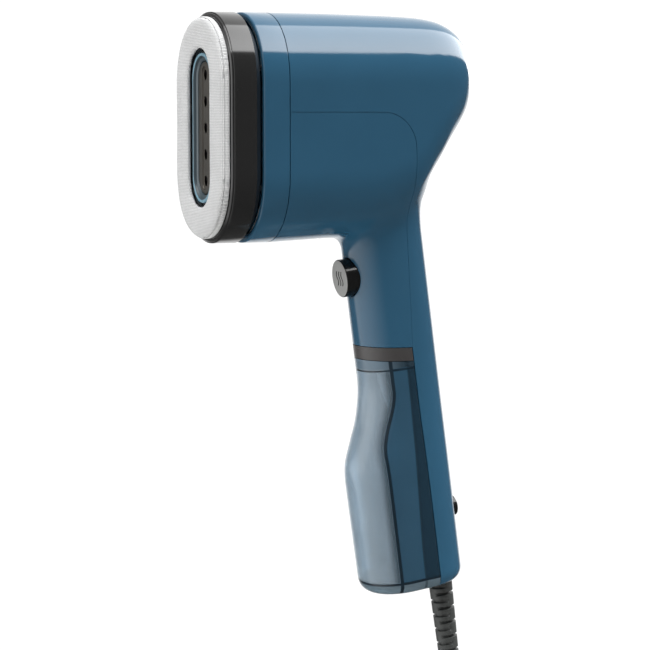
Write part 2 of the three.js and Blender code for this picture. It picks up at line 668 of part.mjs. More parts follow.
addPiece(steamer, 'heating_element', heatingElement(), 'steel');
[['heater_pin_left', -1], ['heater_pin_right', 1]].forEach(([name, side]) => {
  const x = side * HEATER_SPREAD;
  const end = HEATER_LOW - TOUCH;
  addPiece(steamer, name, rodGeometry([x, HEATER_Y, end], [x, HEATER_Y, end - 7], 1.5, 12), 'brass');
});
addPiece(steamer, 'thermostat', turnedGeometry(
  [[0, 0], [THERMOSTAT_RADIUS, 0], [THERMOSTAT_RADIUS, 3], [5, 3.5], [5, THERMOSTAT_DEPTH],
    [0, THERMOSTAT_DEPTH]],
  [0, BACK, HEAD_MIDDLE], [0, 1, 0]), 'steel');
addPiece(steamer, 'thermal_fuse', rodGeometry(
  [-5, BACK + 2.2, HEAD_MIDDLE - 14], [5, BACK + 2.2, HEAD_MIDDLE - 14], 2.0, 16), 'brass');
addPiece(steamer, 'chamber_inlet', chamberInlet(), 'brass');

// -------- pad that pulls off the front, held by two magnets
const CARRIER_REAR = RING_FRONT - TOUCH;
const CARRIER_FRONT = CARRIER_REAR - CARRIER_DEPTH;
const PAD_REAR = CARRIER_FRONT - TOUCH;
const PAD_FRONT = PAD_REAR - PAD_DEPTH;
const PAD_SLOT_OVAL = [TRIM_HALF_WIDTH + PAD_SLOT, TRIM_HALF_HEIGHT + PAD_SLOT];

function padSlab(inset, front, rear) {
  return headOval(HEAD_WIDTH / 2 - PAD_INSET - inset, HEAD_HEIGHT / 2 - PAD_INSET - inset, front, rear).subtract(headOval(...PAD_SLOT_OVAL, front - PAST, rear + PAST));
}

addPiece(steamer, 'pad_cloth', padSlab(0, PAD_FRONT, PAD_REAR), 'pad_cloth');
addPiece(steamer, 'pad_carrier', padSlab(0.4, CARRIER_FRONT, CARRIER_REAR), 'steel');
[['pad_magnet_top', 1], ['pad_magnet_bottom', -1]].forEach(([name, side]) => {
  const z = HEAD_MIDDLE + side * MAGNET_Z;
  addPiece(steamer, name, rodGeometry(
    [0, RING_FRONT + TOUCH, z], [0, RING_FRONT + TOUCH + MAGNET_DEPTH, z], MAGNET_RADIUS, 20), 'steel');
});

// -------- trigger, its spring and its switch
const FLANGE_STEP = 1.6;
const SWITCH_FRONT = -2.6;
const SWITCH_DEPTH = 6.4;

addPiece(grip, 'trigger_button', turnedGeometry(
  [[0, 0], [BUTTON_RADIUS, 0], [BUTTON_RADIUS, BUTTON_LENGTH - 2],
    [BUTTON_RADIUS + FLANGE_STEP, BUTTON_LENGTH - 2], [BUTTON_RADIUS + FLANGE_STEP, BUTTON_LENGTH],
    [0, BUTTON_LENGTH]],
  [0, BUTTON_FACE, BUTTON_UP], [0, 1, 0], 28), 'black_plastic');

function springGeometry(at, length, radius, turns, wire) {
  const points = [];
  const steps = turns * 8;
  for (let step = 0; step <= steps; step += 1) {
    const angle = (2 * Math.PI * step) / 8;
    points.push([
      at[0] + radius * Math.cos(angle),
      at[1] + wire + ((length - 2 * wire) * step) / steps,
      at[2] + radius * Math.sin(angle),
    ]);
  }
  return tubeGeometry(points, wire, steps, 6);
}

addPiece(grip, 'trigger_spring', springGeometry(
  [0, BUTTON_BACK + TOUCH, BUTTON_UP], SWITCH_FRONT - BUTTON_BACK - 2 * TOUCH, 5, 4, 0.4), 'steel');
const SWITCH_TRAVEL = 0.9;
const SWITCH_PIN_RADIUS = 1.5;
const SWITCH_PIN_LENGTH = 5.5;
const SWITCH_PIN_FRONT = BUTTON_BACK + BUTTON_TRAVEL - SWITCH_TRAVEL + TOUCH;
const SWITCH_PIN_BACK = SWITCH_PIN_FRONT + SWITCH_PIN_LENGTH;

function triggerSwitch() {
  const box = blockSolid(
    [-9, SWITCH_FRONT, BUTTON_UP - 7], [9, SWITCH_FRONT + SWITCH_DEPTH, BUTTON_UP + 7]);
  return box.subtract(rodSolid(
    [0, SWITCH_FRONT - PAST, BUTTON_UP], [0, SWITCH_PIN_BACK + SWITCH_TRAVEL + TOUCH, BUTTON_UP],
    SWITCH_PIN_RADIUS + FIT, 16));
}

addPiece(grip, 'trigger_switch', triggerSwitch(), 'black_plastic');
addPiece(grip, 'switch_plunger', rodGeometry(
  [0, SWITCH_PIN_FRONT, BUTTON_UP], [0, SWITCH_PIN_BACK, BUTTON_UP], SWITCH_PIN_RADIUS, 12), 'brass');

// -------- control board and the power button on the back
const BOARD_TOP = -30;
const BOARD_LOW = -92.5;
const POWER_TIP = GRIP_HALF_DEPTH + POWER_PROUD;
const POWER_LENGTH = 7.4;
const POWER_BACK = POWER_TIP - POWER_LENGTH;

addPiece(grip, 'control_board', blockSolid(
  [-BOARD_HALF_WIDTH, BOARD_Y, BOARD_LOW], [BOARD_HALF_WIDTH, BOARD_Y + BOARD_THICKNESS, BOARD_TOP]),
'board');
addPiece(grip, 'power_switch', blockSolid(
  [-3, BOARD_Y + BOARD_THICKNESS + TOUCH, -POWER_DOWN - 3],
  [3, POWER_BACK - POWER_TRAVEL - TOUCH, -POWER_DOWN + 3]), 'black_plastic');
addPiece(grip, 'power_button', turnedGeometry(
  [[0, 0], [POWER_RADIUS, 0], [POWER_RADIUS, POWER_LENGTH - 1.4], [POWER_RADIUS + 1, POWER_LENGTH - 1.4],
    [POWER_RADIUS + 1, POWER_LENGTH], [0, POWER_LENGTH]],
  [0, POWER_TIP, -POWER_DOWN], [0, -1, 0]), 'black_plastic');

// -------- pump: a coil body with a sprung plunger in its bore
const PUMP_TOP = PUMP_Z + PUMP_LENGTH;
const PUMP_BORE_FLOOR = PUMP_Z + 8;
const PLUNGER_LENGTH = 22;
const PUMP_PORT_RADIUS = 2.4;

addPiece(grip, 'pump_body', turnedGeometry(
  [[0, 0], [3, 0], [3, 3], [PUMP_RADIUS, 3], [PUMP_RADIUS, PUMP_LENGTH],
    [PLUNGER_RADIUS + FIT, PUMP_LENGTH], [PLUNGER_RADIUS + FIT, PUMP_BORE_FLOOR - PUMP_Z],
    [0, PUMP_BORE_FLOOR - PUMP_Z]],
  [0, PUMP_Y, PUMP_Z], [0, 0, 1]), 'black_plastic');
addPiece(grip, 'pump_plunger', rodGeometry(
  [0, PUMP_Y, PUMP_BORE_FLOOR + PLUNGER_TRAVEL + TOUCH],
  [0, PUMP_Y, PUMP_BORE_FLOOR + PLUNGER_TRAVEL + TOUCH + PLUNGER_LENGTH], PLUNGER_RADIUS), 'steel');
addPiece(grip, 'pump_outlet', turnedGeometry(
  [[0, 0], [PUMP_RADIUS, 0], [PUMP_RADIUS, 2], [PUMP_PORT_RADIUS, 2.6], [PUMP_PORT_RADIUS, 7], [0, 7]],
  [0, PUMP_Y, PUMP_TOP + TOUCH], [0, 0, 1]), 'black_plastic');

// -------- docking socket over the tank, and the water hoses
const HOSE_RADIUS = 2.2;
const SOCKET_TOP = 5.2;
const OUTLET_RADIUS = 4;
const OUTLET_TOP = -2.2;
const OUTLET_BORE = 1.6;

function dockSocket() {
  const profile = [
    [OUTLET_RADIUS + FIT, 0], [SOCKET_RADIUS, 0], [SOCKET_RADIUS, 9], [HOSE_RADIUS, 10.5],
    [HOSE_RADIUS, 13], [0, 13], [0, 9], [OUTLET_RADIUS + FIT, 8],
    [OUTLET_RADIUS + FIT, 0],
  ];
  return turnedGeometry(profile, [0, SOCKET_Y, SOCKET_TOP - 10.5], [0, 0, 1]);
}

addPiece(grip, 'dock_socket', dockSocket(), 'rubber');
addPiece(grip, 'suction_hose', tubeGeometry([
  [0, SOCKET_Y, SOCKET_TOP + 3],
  [0, SOCKET_Y + 0.3, SOCKET_TOP + 5],
  [0, 5, 15],
  [0, 10.2, 24],
  [0, 9.6, 34],
  [0, PUMP_Y, PUMP_Z - 4],
  [0, PUMP_Y, PUMP_Z - 2 * TOUCH],
], HOSE_RADIUS, 24), 'hose');
addPiece(steamer, 'feed_hose', tubeGeometry([
  gripToWorld(0, PUMP_Y, PUMP_TOP + 7 + 2 * TOUCH),
  gripToWorld(0, PUMP_Y, PUMP_TOP + 11),
  [0, -20, INLET_Z - 1],
  [0, -34, INLET_Z],
  [0, BACK + INLET_LENGTH + TOUCH, INLET_Z],
], HOSE_RADIUS, 20), 'hose');

// -------- leads from the cord up the spine to the heater
function lead(side) {
  return tubeGeometry([
    gripToWorld(side * 1.7, RELIEF_Y - 0.2, CLAMP_TOP + 4 * TOUCH),
    gripToWorld(side * 6.4, 8.6, -100.8),
    gripToWorld(side * 10, 7, -95),
    gripToWorld(side * 12.2, 6.4, -85),
    gripToWorld(side * 12.2, 6.4, -30),
    gripToWorld(side * 12.2, 6, 0),
    gripToWorld(side * 12, 8, 30),
    gripToWorld(side * 14, 4, 50),
    gripToWorld(side * 17, -6, 66),
    [side * 17, -36, HEAD_MIDDLE - 24],
    [side * (HEATER_SPREAD + 2), HEATER_Y + 4, HEATER_LOW - 20],
    [side * HEATER_SPREAD, HEATER_Y, HEATER_LOW - 13],
    [side * HEATER_SPREAD, HEATER_Y, HEATER_LOW - 7 - 3 * TOUCH],
  ], 1.1, 32, 6);
}

addPiece(steamer, 'lead_left', lead(-1), 'rubber');
addPiece(steamer, 'lead_right', lead(1), 'rubber');

// -------- water tank: clear shell, black lid band, seal, plug, outlet, dip hose, filter
const BAND_LOW = BAND_TOP - BAND_HEIGHT;
const LID_SKIRT = 3.2;
const SEAL_DEPTH = 0.9;
const SEAL_WIDTH = 1.6;
const OUTLET_LOW = -19;

function tankShell() {
  const outside = gripForm(0).intersect(acrossSlab(-REACH, SPLIT - TOUCH));
  const inside = gripForm(TANK_WALL)
    .intersect(acrossSlab(-REACH, SPLIT - TOUCH - TANK_WALL))
    .intersect(levelSlab(TANK_FLOOR - GRIP_BELOW, REACH));
  return turned(outside.subtract(inside)).intersect(levelSlab(-REACH, BAND_LOW - TOUCH));
}

function lidLevel(inset, low, high) {
  const form = gripForm(inset).intersect(acrossSlab(-REACH, SPLIT - TOUCH - inset));
  return turned(form).intersect(levelSlab(low, high));
}

function tankLid() {
  const [low, high] = [BAND_LOW - LID_SKIRT - PAST, BAND_TOP + PAST];
  const filler = rodSolid([FILLER_X, FILLER_Y, low], [FILLER_X, FILLER_Y, high], FILLER_RADIUS + TOUCH);
  const outlet = rodSolid([0, SOCKET_Y, low], [0, SOCKET_Y, high], OUTLET_RADIUS + TOUCH);
  const lid = lidLevel(0, BAND_LOW, BAND_TOP)
    .add(lidLevel(TANK_WALL + FIT, BAND_LOW - LID_SKIRT, (BAND_LOW + BAND_TOP) / 2));
  return lid.subtract(turned(filler)).subtract(turned(outlet));
}

const SEAL_TOP = BAND_LOW - LID_SKIRT - TOUCH;

function tankSeal() {
  return lidLevel(TANK_WALL + TOUCH, SEAL_TOP - SEAL_DEPTH, SEAL_TOP)
    .subtract(lidLevel(TANK_WALL + TOUCH + SEAL_WIDTH, SEAL_TOP - SEAL_DEPTH - PAST, SEAL_TOP + PAST));
}

addPiece(steamer, 'tank_shell', tankShell(), 'clear_tank');
addPiece(steamer, 'tank_lid', tankLid(), 'black_plastic');
addPiece(steamer, 'tank_seal', tankSeal(), 'rubber');
addPiece(grip, 'tank_outlet', turnedGeometry(
  [[OUTLET_BORE, 0], [OUTLET_RADIUS - 1, 0], [OUTLET_RADIUS, 2],
    [OUTLET_RADIUS, OUTLET_TOP - OUTLET_LOW], [OUTLET_BORE, OUTLET_TOP - OUTLET_LOW], [OUTLET_BORE, 0]],
  [0, SOCKET_Y, OUTLET_LOW], [0, 0, 1], 16), 'black_plastic');

// The fill plug's lowest edge stays a touch above the seal, whatever the tank wall.
const FILLER_TOP = -10;
const FILLER_LOW = (SEAL_TOP + TOUCH - (FILLER_Y - FILLER_RADIUS) * Math.sin(GRIP_TILT))
  / Math.cos(GRIP_TILT);
const FILLER_LENGTH = FILLER_TOP - FILLER_LOW;
addPiece(grip, 'fill_plug', turnedGeometry(
  [[0, 0], [FILLER_RADIUS - FIT, 0], [FILLER_RADIUS, 1.5], [FILLER_RADIUS, FILLER_LENGTH],
    [0, FILLER_LENGTH]],
  [FILLER_X, FILLER_Y, FILLER_LOW], [0, 0, 1], 16), 'rubber');

// The hose hangs close to the tank's flat back and ends in a filter over the floor.
const DIP_RADIUS = 1.8;
const DIP_LOW = -110;
const FILTER_RADIUS = 3.2;
const FILTER_DEPTH = 5.7;
const DIP_Y = SPLIT - TOUCH - TANK_WALL - FIT - FILTER_RADIUS;
addPiece(grip, 'dip_hose', tubeGeometry([
  [0, SOCKET_Y, OUTLET_LOW - TOUCH],
  [0, SOCKET_Y, OUTLET_LOW - 4],
  [0, DIP_Y, OUTLET_LOW - 20],
  [0, DIP_Y, (OUTLET_LOW + DIP_LOW) / 2],
  [0, DIP_Y, DIP_LOW + FILTER_DEPTH + TOUCH],
], DIP_RADIUS, 20), 'hose');
addPiece(grip, 'inlet_filter', turnedGeometry(
  [[0, 0], [FILTER_RADIUS, 0], [FILTER_RADIUS, FILTER_DEPTH - 1], [DIP_RADIUS, FILTER_DEPTH],
    [0, FILTER_DEPTH]],
  [0, DIP_Y, DIP_LOW], [0, 0, 1], 16), 'black_plastic');

// -------- strain relief, clamp, cord, coil, tie and plug
function strainRelief() {
  const pitch = RELIEF_LENGTH / RELIEF_RIBS;
  const tip = -GRIP_BELOW - RELIEF_LENGTH;
  const profile = [[0, tip]];
  for (let rib = 0; rib < RELIEF_RIBS; rib += 1) {
    const base = RELIEF_TIP_RADIUS + ((RELIEF_RADIUS - RELIEF_TIP_RADIUS) * rib) / (RELIEF_RIBS - 1);
    const z = tip + rib * pitch;
    const groove = base - RELIEF_GROOVE;
    profile.push([base, z], [base, z + pitch * 0.6], [groove, z + pitch * 0.7], [groove, z + pitch * 0.9]);
  }
  profile.push([RELIEF_RADIUS, -GRIP_BELOW], [RELIEF_RADIUS, RELIEF_SEAT]);
  profile.push([RELIEF_RADIUS + 0.3, RELIEF_SEAT], [RELIEF_RADIUS + 0.3, RELIEF_SEAT + 1.4]);
  profile.push([CORD_RADIUS, RELIEF_SEAT + 1.4], [CORD_RADIUS, CLAMP_TOP], [0, CLAMP_TOP]);
  return turnedGeometry(profile, [0, RELIEF_Y, 0], [0, 0, 1], 14);
}

const clampScrews = [-1, 1].map((side) => [side * CLAMP_SCREW_X, CLAMP_FRONT, CLAMP_Z]);

function cordClamp() {
  const block = blockSolid(
    [-CLAMP_SCREW_X - 4, CLAMP_FRONT, CLAMP_LOW],
    [CLAMP_SCREW_X + 4, CLAMP_FRONT + CLAMP_DEPTH, CLAMP_TOP]);
  return clampScrews.reduce((rest, at) => rest
    .subtract(screwHole(at, [0, 1, 0], SCREW_LENGTH))
    .subtract(headPocket(at)), block);
}

addPiece(grip, 'strain_relief', strainRelief(), 'rubber');
addPiece(grip, 'cord_clamp', cordClamp(), 'black_plastic');
clampScrews.forEach((at, number) => {
  addPiece(grip, `clamp_screw_${number + 1}`, screwGeometry(at, [0, 1, 0], SCREW_LENGTH), 'steel');
});

const coilRing = solid(turnedGeometry([
  [COIL_RADIUS - COIL_HALF, -COIL_HALF + 2],
  [COIL_RADIUS - COIL_HALF + 2, -COIL_HALF],
  [COIL_RADIUS + COIL_HALF - 2, -COIL_HALF],
  [COIL_RADIUS + COIL_HALF, -COIL_HALF + 2],
  [COIL_RADIUS + COIL_HALF, COIL_HALF - 2],
  [COIL_RADIUS + COIL_HALF - 2, COIL_HALF],
  [COIL_RADIUS - COIL_HALF + 2, COIL_HALF],
  [COIL_RADIUS - COIL_HALF, COIL_HALF - 2],
  [COIL_RADIUS - COIL_HALF, -COIL_HALF + 2],
], [0, COIL_Y, COIL_Z], [1, 0, 0], 40));

// Keeps the cord's tubes a touch clear of the coil they run into.
const coilRoom = rodSolid([-COIL_HALF - TOUCH, COIL_Y, COIL_Z], [COIL_HALF + TOUCH, COIL_Y, COIL_Z],
  COIL_RADIUS + COIL_HALF + TOUCH, 40);

const reliefTip = gripToWorld(0, RELIEF_Y, -GRIP_BELOW - RELIEF_LENGTH - TOUCH);
const cordLead = solid(tubeGeometry([
  reliefTip,
  [-0.4, 32.2, -171.5],
  [-1.6, 34.6, -179.5],
  [-3.6, 38.6, -186.6],
  [-5.8, 43.4, -191.2],
  [-7.2, 52.0, -197.6],
], CORD_RADIUS, 8, 10)).subtract(coilRoom);
const CORD_END_X = 7;
const CORD_END_Y = COIL_Y + COIL_RADIUS + 7;
const PLUG_TOP = -266;
const cordEnd = solid(tubeGeometry([
  [CORD_END_X, CORD_END_Y - 1, COIL_Z - 6],
  [CORD_END_X, CORD_END_Y, COIL_Z - 18],
  [CORD_END_X, CORD_END_Y, PLUG_TOP + TOUCH],
], CORD_RADIUS, 4, 10)).subtract(coilRoom);

function coilTie() {
  const around = COIL_HALF + 2.2;
  const inside = COIL_HALF + 0.6;
  const middle = COIL_Z + COIL_RADIUS;
  const [front, rear] = [COIL_Y - 14, COIL_Y - 2];
  const arcDrop = 2.4;          // the turns run lower away from the coil's top
  const band = blockSolid([-around, front, middle - around], [around, rear, middle + around]);
  return band.subtract(blockSolid(
    [-inside, front - PAST, middle - inside - arcDrop], [inside, rear + PAST, middle + inside]));
}

function plugBody() {
  const outline = ovalPoints(PLUG_HALF_DEPTH, PLUG_HALF_WIDTH).map(
    (point) => new THREE.Vector2(point.y, point.x));
  const sections = [[0.42, 0], [0.5, 10], [1.0, 18], [1.0, PLUG_LENGTH]].map(([share, down]) => outline
    .map((point) => new THREE.Vector3(
      CORD_END_X + point.x * share, CORD_END_Y + point.y * share, PLUG_TOP - down)));
  return loftSolid(sections);
}

addPiece(steamer, 'cord_lead', cordLead, 'rubber');
addPiece(steamer, 'cord_coil', coilRing, 'rubber');
addPiece(steamer, 'cord_end', cordEnd, 'rubber');
addPiece(steamer, 'cord_tie', coilTie(), 'rubber');
addPiece(steamer, 'plug_body', plugBody(), 'rubber');
[['plug_pin_left', -1], ['plug_pin_right', 1]].forEach(([name, side]) => {
  const x = CORD_END_X + side * PIN_SPREAD;
  const top = PLUG_TOP - PLUG_LENGTH - TOUCH;
  addPiece(steamer, name, rodGeometry([x, CORD_END_Y, top], [x, CORD_END_Y, top - 19], 2.0, 16), 'brass');
});

export default steamer;
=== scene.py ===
import json
import math

import bmesh
import bpy
import numpy as np
from mathutils import Matrix, Vector
from mathutils.bvhtree import BVHTree


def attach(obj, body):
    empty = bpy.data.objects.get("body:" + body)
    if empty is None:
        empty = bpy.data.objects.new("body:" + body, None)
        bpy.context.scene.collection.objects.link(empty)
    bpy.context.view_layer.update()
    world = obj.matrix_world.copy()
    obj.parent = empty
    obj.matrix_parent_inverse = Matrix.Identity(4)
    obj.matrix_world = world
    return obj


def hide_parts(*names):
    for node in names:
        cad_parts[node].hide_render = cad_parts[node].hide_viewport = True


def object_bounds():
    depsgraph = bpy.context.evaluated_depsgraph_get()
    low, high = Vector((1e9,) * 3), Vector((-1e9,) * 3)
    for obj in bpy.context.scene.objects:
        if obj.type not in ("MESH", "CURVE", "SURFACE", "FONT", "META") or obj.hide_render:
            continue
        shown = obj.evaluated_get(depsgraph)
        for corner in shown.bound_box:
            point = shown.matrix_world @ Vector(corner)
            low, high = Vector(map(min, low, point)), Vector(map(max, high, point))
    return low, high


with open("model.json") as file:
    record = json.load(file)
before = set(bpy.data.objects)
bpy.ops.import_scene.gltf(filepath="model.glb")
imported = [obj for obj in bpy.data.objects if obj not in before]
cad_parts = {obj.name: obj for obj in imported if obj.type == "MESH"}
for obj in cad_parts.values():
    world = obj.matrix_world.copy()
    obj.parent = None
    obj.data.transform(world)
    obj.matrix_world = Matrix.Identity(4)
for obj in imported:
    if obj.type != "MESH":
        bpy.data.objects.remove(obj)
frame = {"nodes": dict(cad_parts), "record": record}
CAD_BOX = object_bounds()
MM = 0.001

# ---------- camera
# A long lens a metre away, low beside the front, so that the oval face shows as a narrow
# slice. The Standard view transform keeps the studio's white white.
AZIMUTH = math.radians(67)
ELEVATION = math.radians(5.4)
TARGET = Vector((0, -33.3 * MM, 2.3 * MM))
toward = Vector((
    math.sin(AZIMUTH) * math.cos(ELEVATION),
    -math.cos(AZIMUTH) * math.cos(ELEVATION),
    math.sin(ELEVATION),
))
camera_data = bpy.data.cameras.new("camera")
camera_data.sensor_width = 36
camera_data.lens = 121.85
camera = bpy.data.objects.new("camera", camera_data)
camera.location = TARGET + toward
camera.rotation_euler = toward.to_track_quat("Z", "Y").to_euler()
bpy.context.scene.collection.objects.link(camera)
bpy.context.scene.camera = camera
bpy.context.scene.view_settings.view_transform = "Standard"


# ---------- floor
# One pale round sheet of card under the steamer, wide enough to catch its shadow. It stays
# out of mirror reflections, so that glossy undersides show the room and not the card.
def linear(code):
    """Linear RGBA of an sRGB colour written as six hex digits."""
    parts = [int(code[i:i + 2], 16) / 255 for i in (0, 2, 4)]
    return [p / 12.92 if p <= 0.04045 else ((p + 0.055) / 1.055) ** 2.4 for p in parts] + [1.0]


def put(tree, kind, inputs=(), **settings):
    """Adds one node. A socket given as another node's output is linked, any other is set."""
    node = tree.nodes.new(kind)
    for name, value in settings.items():
        setattr(node, name, value)
    for socket, value in dict(inputs).items():
        if isinstance(value, bpy.types.NodeSocket):
            tree.links.new(value, node.inputs[socket])
        else:
            node.inputs[socket].default_value = value
    return node


def new_material(name):
    """An empty node material and its tree."""
    material = bpy.data.materials.new(name)
    material.use_nodes = True
    material.node_tree.nodes.clear()
    return material, material.node_tree


def spots(tree, size, detail=2.0, rough=0.5):
    """Noise in the object's own space, from 0 to 1, with spots of a size in millimetres."""
    place = put(tree, "ShaderNodeTexCoord").outputs["Object"]
    return put(tree, "ShaderNodeTexNoise", {
        "Vector": place, "Scale": 1 / (size * MM), "Detail": detail, "Roughness": rough,
    }).outputs["Fac"]


def between(tree, value, low, high):
    """A value from 0 to 1 spread between two others."""
    return put(tree, "ShaderNodeMapRange", {
        "Value": value, "From Min": 0.3, "From Max": 0.7, "To Min": low, "To Max": high,
    }).outputs["Result"]


def moulded(name, code, roughness, grain=1.11, depth=0.02, mottle=0.05, spread=0.04, **sockets):
    """A plain material with a slight mottle, uneven gloss and a moulded grain.

    The grain's width is in millimetres, drawn coarser than a real one so that it shows."""
    material, tree = new_material(name)
    colour = linear(code)
    shade = between(tree, spots(tree, 28.6, 4), 1 - mottle, 1 + mottle)
    tint = put(tree, "ShaderNodeVectorMath", {0: colour[:3], 3: shade}, operation="SCALE")
    gloss = between(tree, spots(tree, 16.7, 3), roughness - spread, roughness + spread)
    bump = put(tree, "ShaderNodeBump", {
        "Strength": depth, "Distance": 0.4 * MM, "Height": spots(tree, grain, 3, 0.6),
    })
    surface = put(tree, "ShaderNodeBsdfPrincipled", {
        "Base Color": tint.outputs["Vector"], "Roughness": gloss,
        "Normal": bump.outputs["Normal"], **sockets,
    })
    put(tree, "ShaderNodeOutputMaterial", {"Surface": surface.outputs[0]})
    return material


def mesh_piece(name, points, faces, material, sharp=32):
    """A mesh object at the origin with smooth shading broken at its sharp edges."""
    mesh = bpy.data.meshes.new(name)
    mesh.from_pydata([tuple(p) for p in points], [], faces)
    piece = bpy.data.objects.new(name, mesh)
    bpy.context.scene.collection.objects.link(piece)
    mesh.materials.append(material)
    settle(piece, sharp)
    return piece


def settle(piece, sharp=32):
    """Turns a mesh's faces outward and marks what is sharp."""
    work = bmesh.new()
    work.from_mesh(piece.data)
    bmesh.ops.remove_doubles(work, verts=work.verts, dist=1e-6)
    bmesh.ops.recalc_face_normals(work, faces=work.faces)
    work.to_mesh(piece.data)
    work.free()
    piece.data.shade_smooth()
    piece.data.set_sharp_from_angle(angle=math.radians(sharp))


FLOOR = CAD_BOX[0][2] - 0.5 * MM
FLOOR_RADIUS = 0.66
pale_floor = moulded("pale_paper", "bcbcba", 0.6, grain=25, depth=0.01, mottle=0.004)
rim = [
    (FLOOR_RADIUS * math.cos(a), FLOOR_RADIUS * math.sin(a), FLOOR)
    for a in np.linspace(0, 2 * math.pi, 193)[:-1]
]
floor = mesh_piece("floor", rim, [tuple(range(len(rim)))], pale_floor)
floor.visible_glossy = False


# ---------- light
# A soft studio: one softbox in front of the pad, and a room whose brightness is drawn by the
# way a surface has to face to mirror it to the camera.
SOFTBOX_AT, SOFTBOX_AIM = Vector((-0.45, -1.45, 0.25)), Vector((0, -0.09, 0.03))
softbox_data = bpy.data.lights.new("front_softbox", "AREA")
softbox_data.shape = "RECTANGLE"
softbox_data.size = 1.0
softbox_data.size_y = 1.1
softbox_data.energy = 4
softbox = bpy.data.objects.new("front_softbox", softbox_data)
softbox.location = SOFTBOX_AT
softbox.rotation_euler = (SOFTBOX_AT - SOFTBOX_AIM).to_track_quat("Z", "Y").to_euler()
bpy.context.scene.collection.objects.link(softbox)


def ramp(tree, value, start, stop, low=0.0, high=1.0):
    """A value eased from one level to another as it passes between two marks."""
    return put(tree, "ShaderNodeMapRange", {
        "Value": value, "From Min": start, "From Max": stop, "To Min": low, "To Max": high,
    }, interpolation_type="SMOOTHSTEP").outputs["Result"]


def maths(tree, operation, first, *others):
    """One step of arithmetic; a multiplication or a maximum takes in any number of values."""
    if operation in ("MULTIPLY", "MAXIMUM"):
        for other in others:
            first = put(tree, "ShaderNodeMath", {0: first, 1: other}, operation=operation).outputs[0]
        return first
    return put(
        tree, "ShaderNodeMath", dict(enumerate((first, *others))), operation=operation).outputs[0]


world = bpy.data.worlds.new("studio")
world.use_nodes = True
room = world.node_tree
room.nodes.clear()
heading = put(room, "ShaderNodeTexCoord").outputs["Generated"]
half_way = put(room, "ShaderNodeVectorMath", {0: heading, 1: toward}).outputs[0]
mirror = put(room, "ShaderNodeVectorMath", {0: half_way}, operation="NORMALIZE").outputs[0]
parts = put(room, "ShaderNodeSeparateXYZ", {0: mirror}).outputs
rise = maths(room, "ARCTAN2", parts["Z"], parts["X"])
forward = maths(room, "ARCTAN2", maths(room, "MULTIPLY", parts["Y"], -1.0), parts["X"])
square_on = put(room, "ShaderNodeVectorMath", {
    0: mirror, 1: toward}, operation="DOT_PRODUCT").outputs["Value"]

# The strip overhead is the sharp-edged band along the head, dimmer over the pad.
STRIP_LOW, STRIP_HIGH = math.radians(26.5), math.radians(56.0)
overhead = maths(
    room, "MULTIPLY",
    ramp(room, rise, STRIP_LOW, STRIP_LOW + 0.025),
    ramp(room, rise, STRIP_LOW, STRIP_HIGH, 7.0, 4.4),
    ramp(room, rise, STRIP_HIGH, STRIP_HIGH + 0.03, 1.0, 0.28),
    ramp(room, square_on, 0.10, 0.20),
    ramp(room, parts["Y"], -0.62, -0.36, 0.2, 1.0),
    ramp(room, rise, math.radians(128), math.radians(112)))

# The light ahead fills what is turned to the front, such as the front of the grip.
ahead = maths(
    room, "MULTIPLY",
    ramp(room, forward, math.radians(14), math.radians(64), 0.0, 1.4),
    ramp(room, square_on, 0.36, 0.54),
    ramp(room, maths(room, "ABSOLUTE", rise), math.radians(50), math.radians(30)))

# The wall behind is a white rim on surfaces seen nearly edge on; the rest of the room is dim.
WALL_LEVEL, DIM_LEVEL = 1.08, 0.11
wall = maths(room, "MULTIPLY", ramp(room, square_on, 0.33, 0.18), WALL_LEVEL)
level = maths(room, "MAXIMUM", wall, DIM_LEVEL, overhead, ahead)
glow = put(room, "ShaderNodeBackground", {"Color": (1, 1, 1, 1), "Strength": level})
put(room, "ShaderNodeOutputWorld", {"Surface": glow.outputs[0]})
bpy.context.scene.world = world


# ---------- the grip's own frame
# The grip, its buttons, the tank and the strain relief lean back 7.6 degrees. They are drawn
# upright, in millimetres, and turned into place.
TILT = math.radians(7.6)
LEAN = np.array(Matrix.Rotation(TILT, 3, "X"))


def leaned(points):
    """Points in the grip's own frame, in millimetres, as points of the whole in metres."""
    return (np.asarray(points, float) @ LEAN.T) * MM


# ---------- cord
# PVC mains lead, 1.8 m by 7 mm: out of the strain relief and down into nine turns that
# hang tied under the steamer, with the last turn running out to the plug.
CORD = 7.0
COIL_MIDDLE = np.array([0.0, 23.0, -232.0])
PITCH = 7.2
TURN_RADIUS = 38.5
START_ANGLE = math.radians(60)
STEP_ANGLE = math.radians(286.67)
CROSSING = 0.21
RELIEF_Y = 9.3
RELIEF_TIP = -163.0
STEPS = 18
# Each turn's place across the bundle and outward, in pitches from the middle turn.
ORDER = [(-1, 1), (-1, 0), (-1, -1), (0, -1), (1, -1), (1, 0), (0, 0), (0, 1), (1, 1)]
relief_tip = leaned([[0, RELIEF_Y, RELIEF_TIP]])[0] / MM
route = [
    relief_tip,
    (-0.4, 32.2, -171.5), (-1.6, 34.6, -179.5), (-3.6, 38.6, -186.6), (-5.8, 43.4, -191.2),
]
for turn, (side, level) in enumerate(ORDER):
    before = ORDER[max(turn - 1, 0)]
    last = turn == len(ORDER) - 1
    for step in range(STEPS + (1 if last else 0)):
        share = step / STEPS
        angle = START_ANGLE - (turn + share) * STEP_ANGLE
        ease = min(share / CROSSING, 1.0)
        ease = ease * ease * (3 - 2 * ease)
        x = PITCH * (before[0] + (side - before[0]) * ease)
        radius = TURN_RADIUS + PITCH * (before[1] + (level - before[1]) * ease)
        route.append((
            x,
            COIL_MIDDLE[1] + radius * math.cos(angle),
            COIL_MIDDLE[2] + radius * math.sin(angle),
        ))
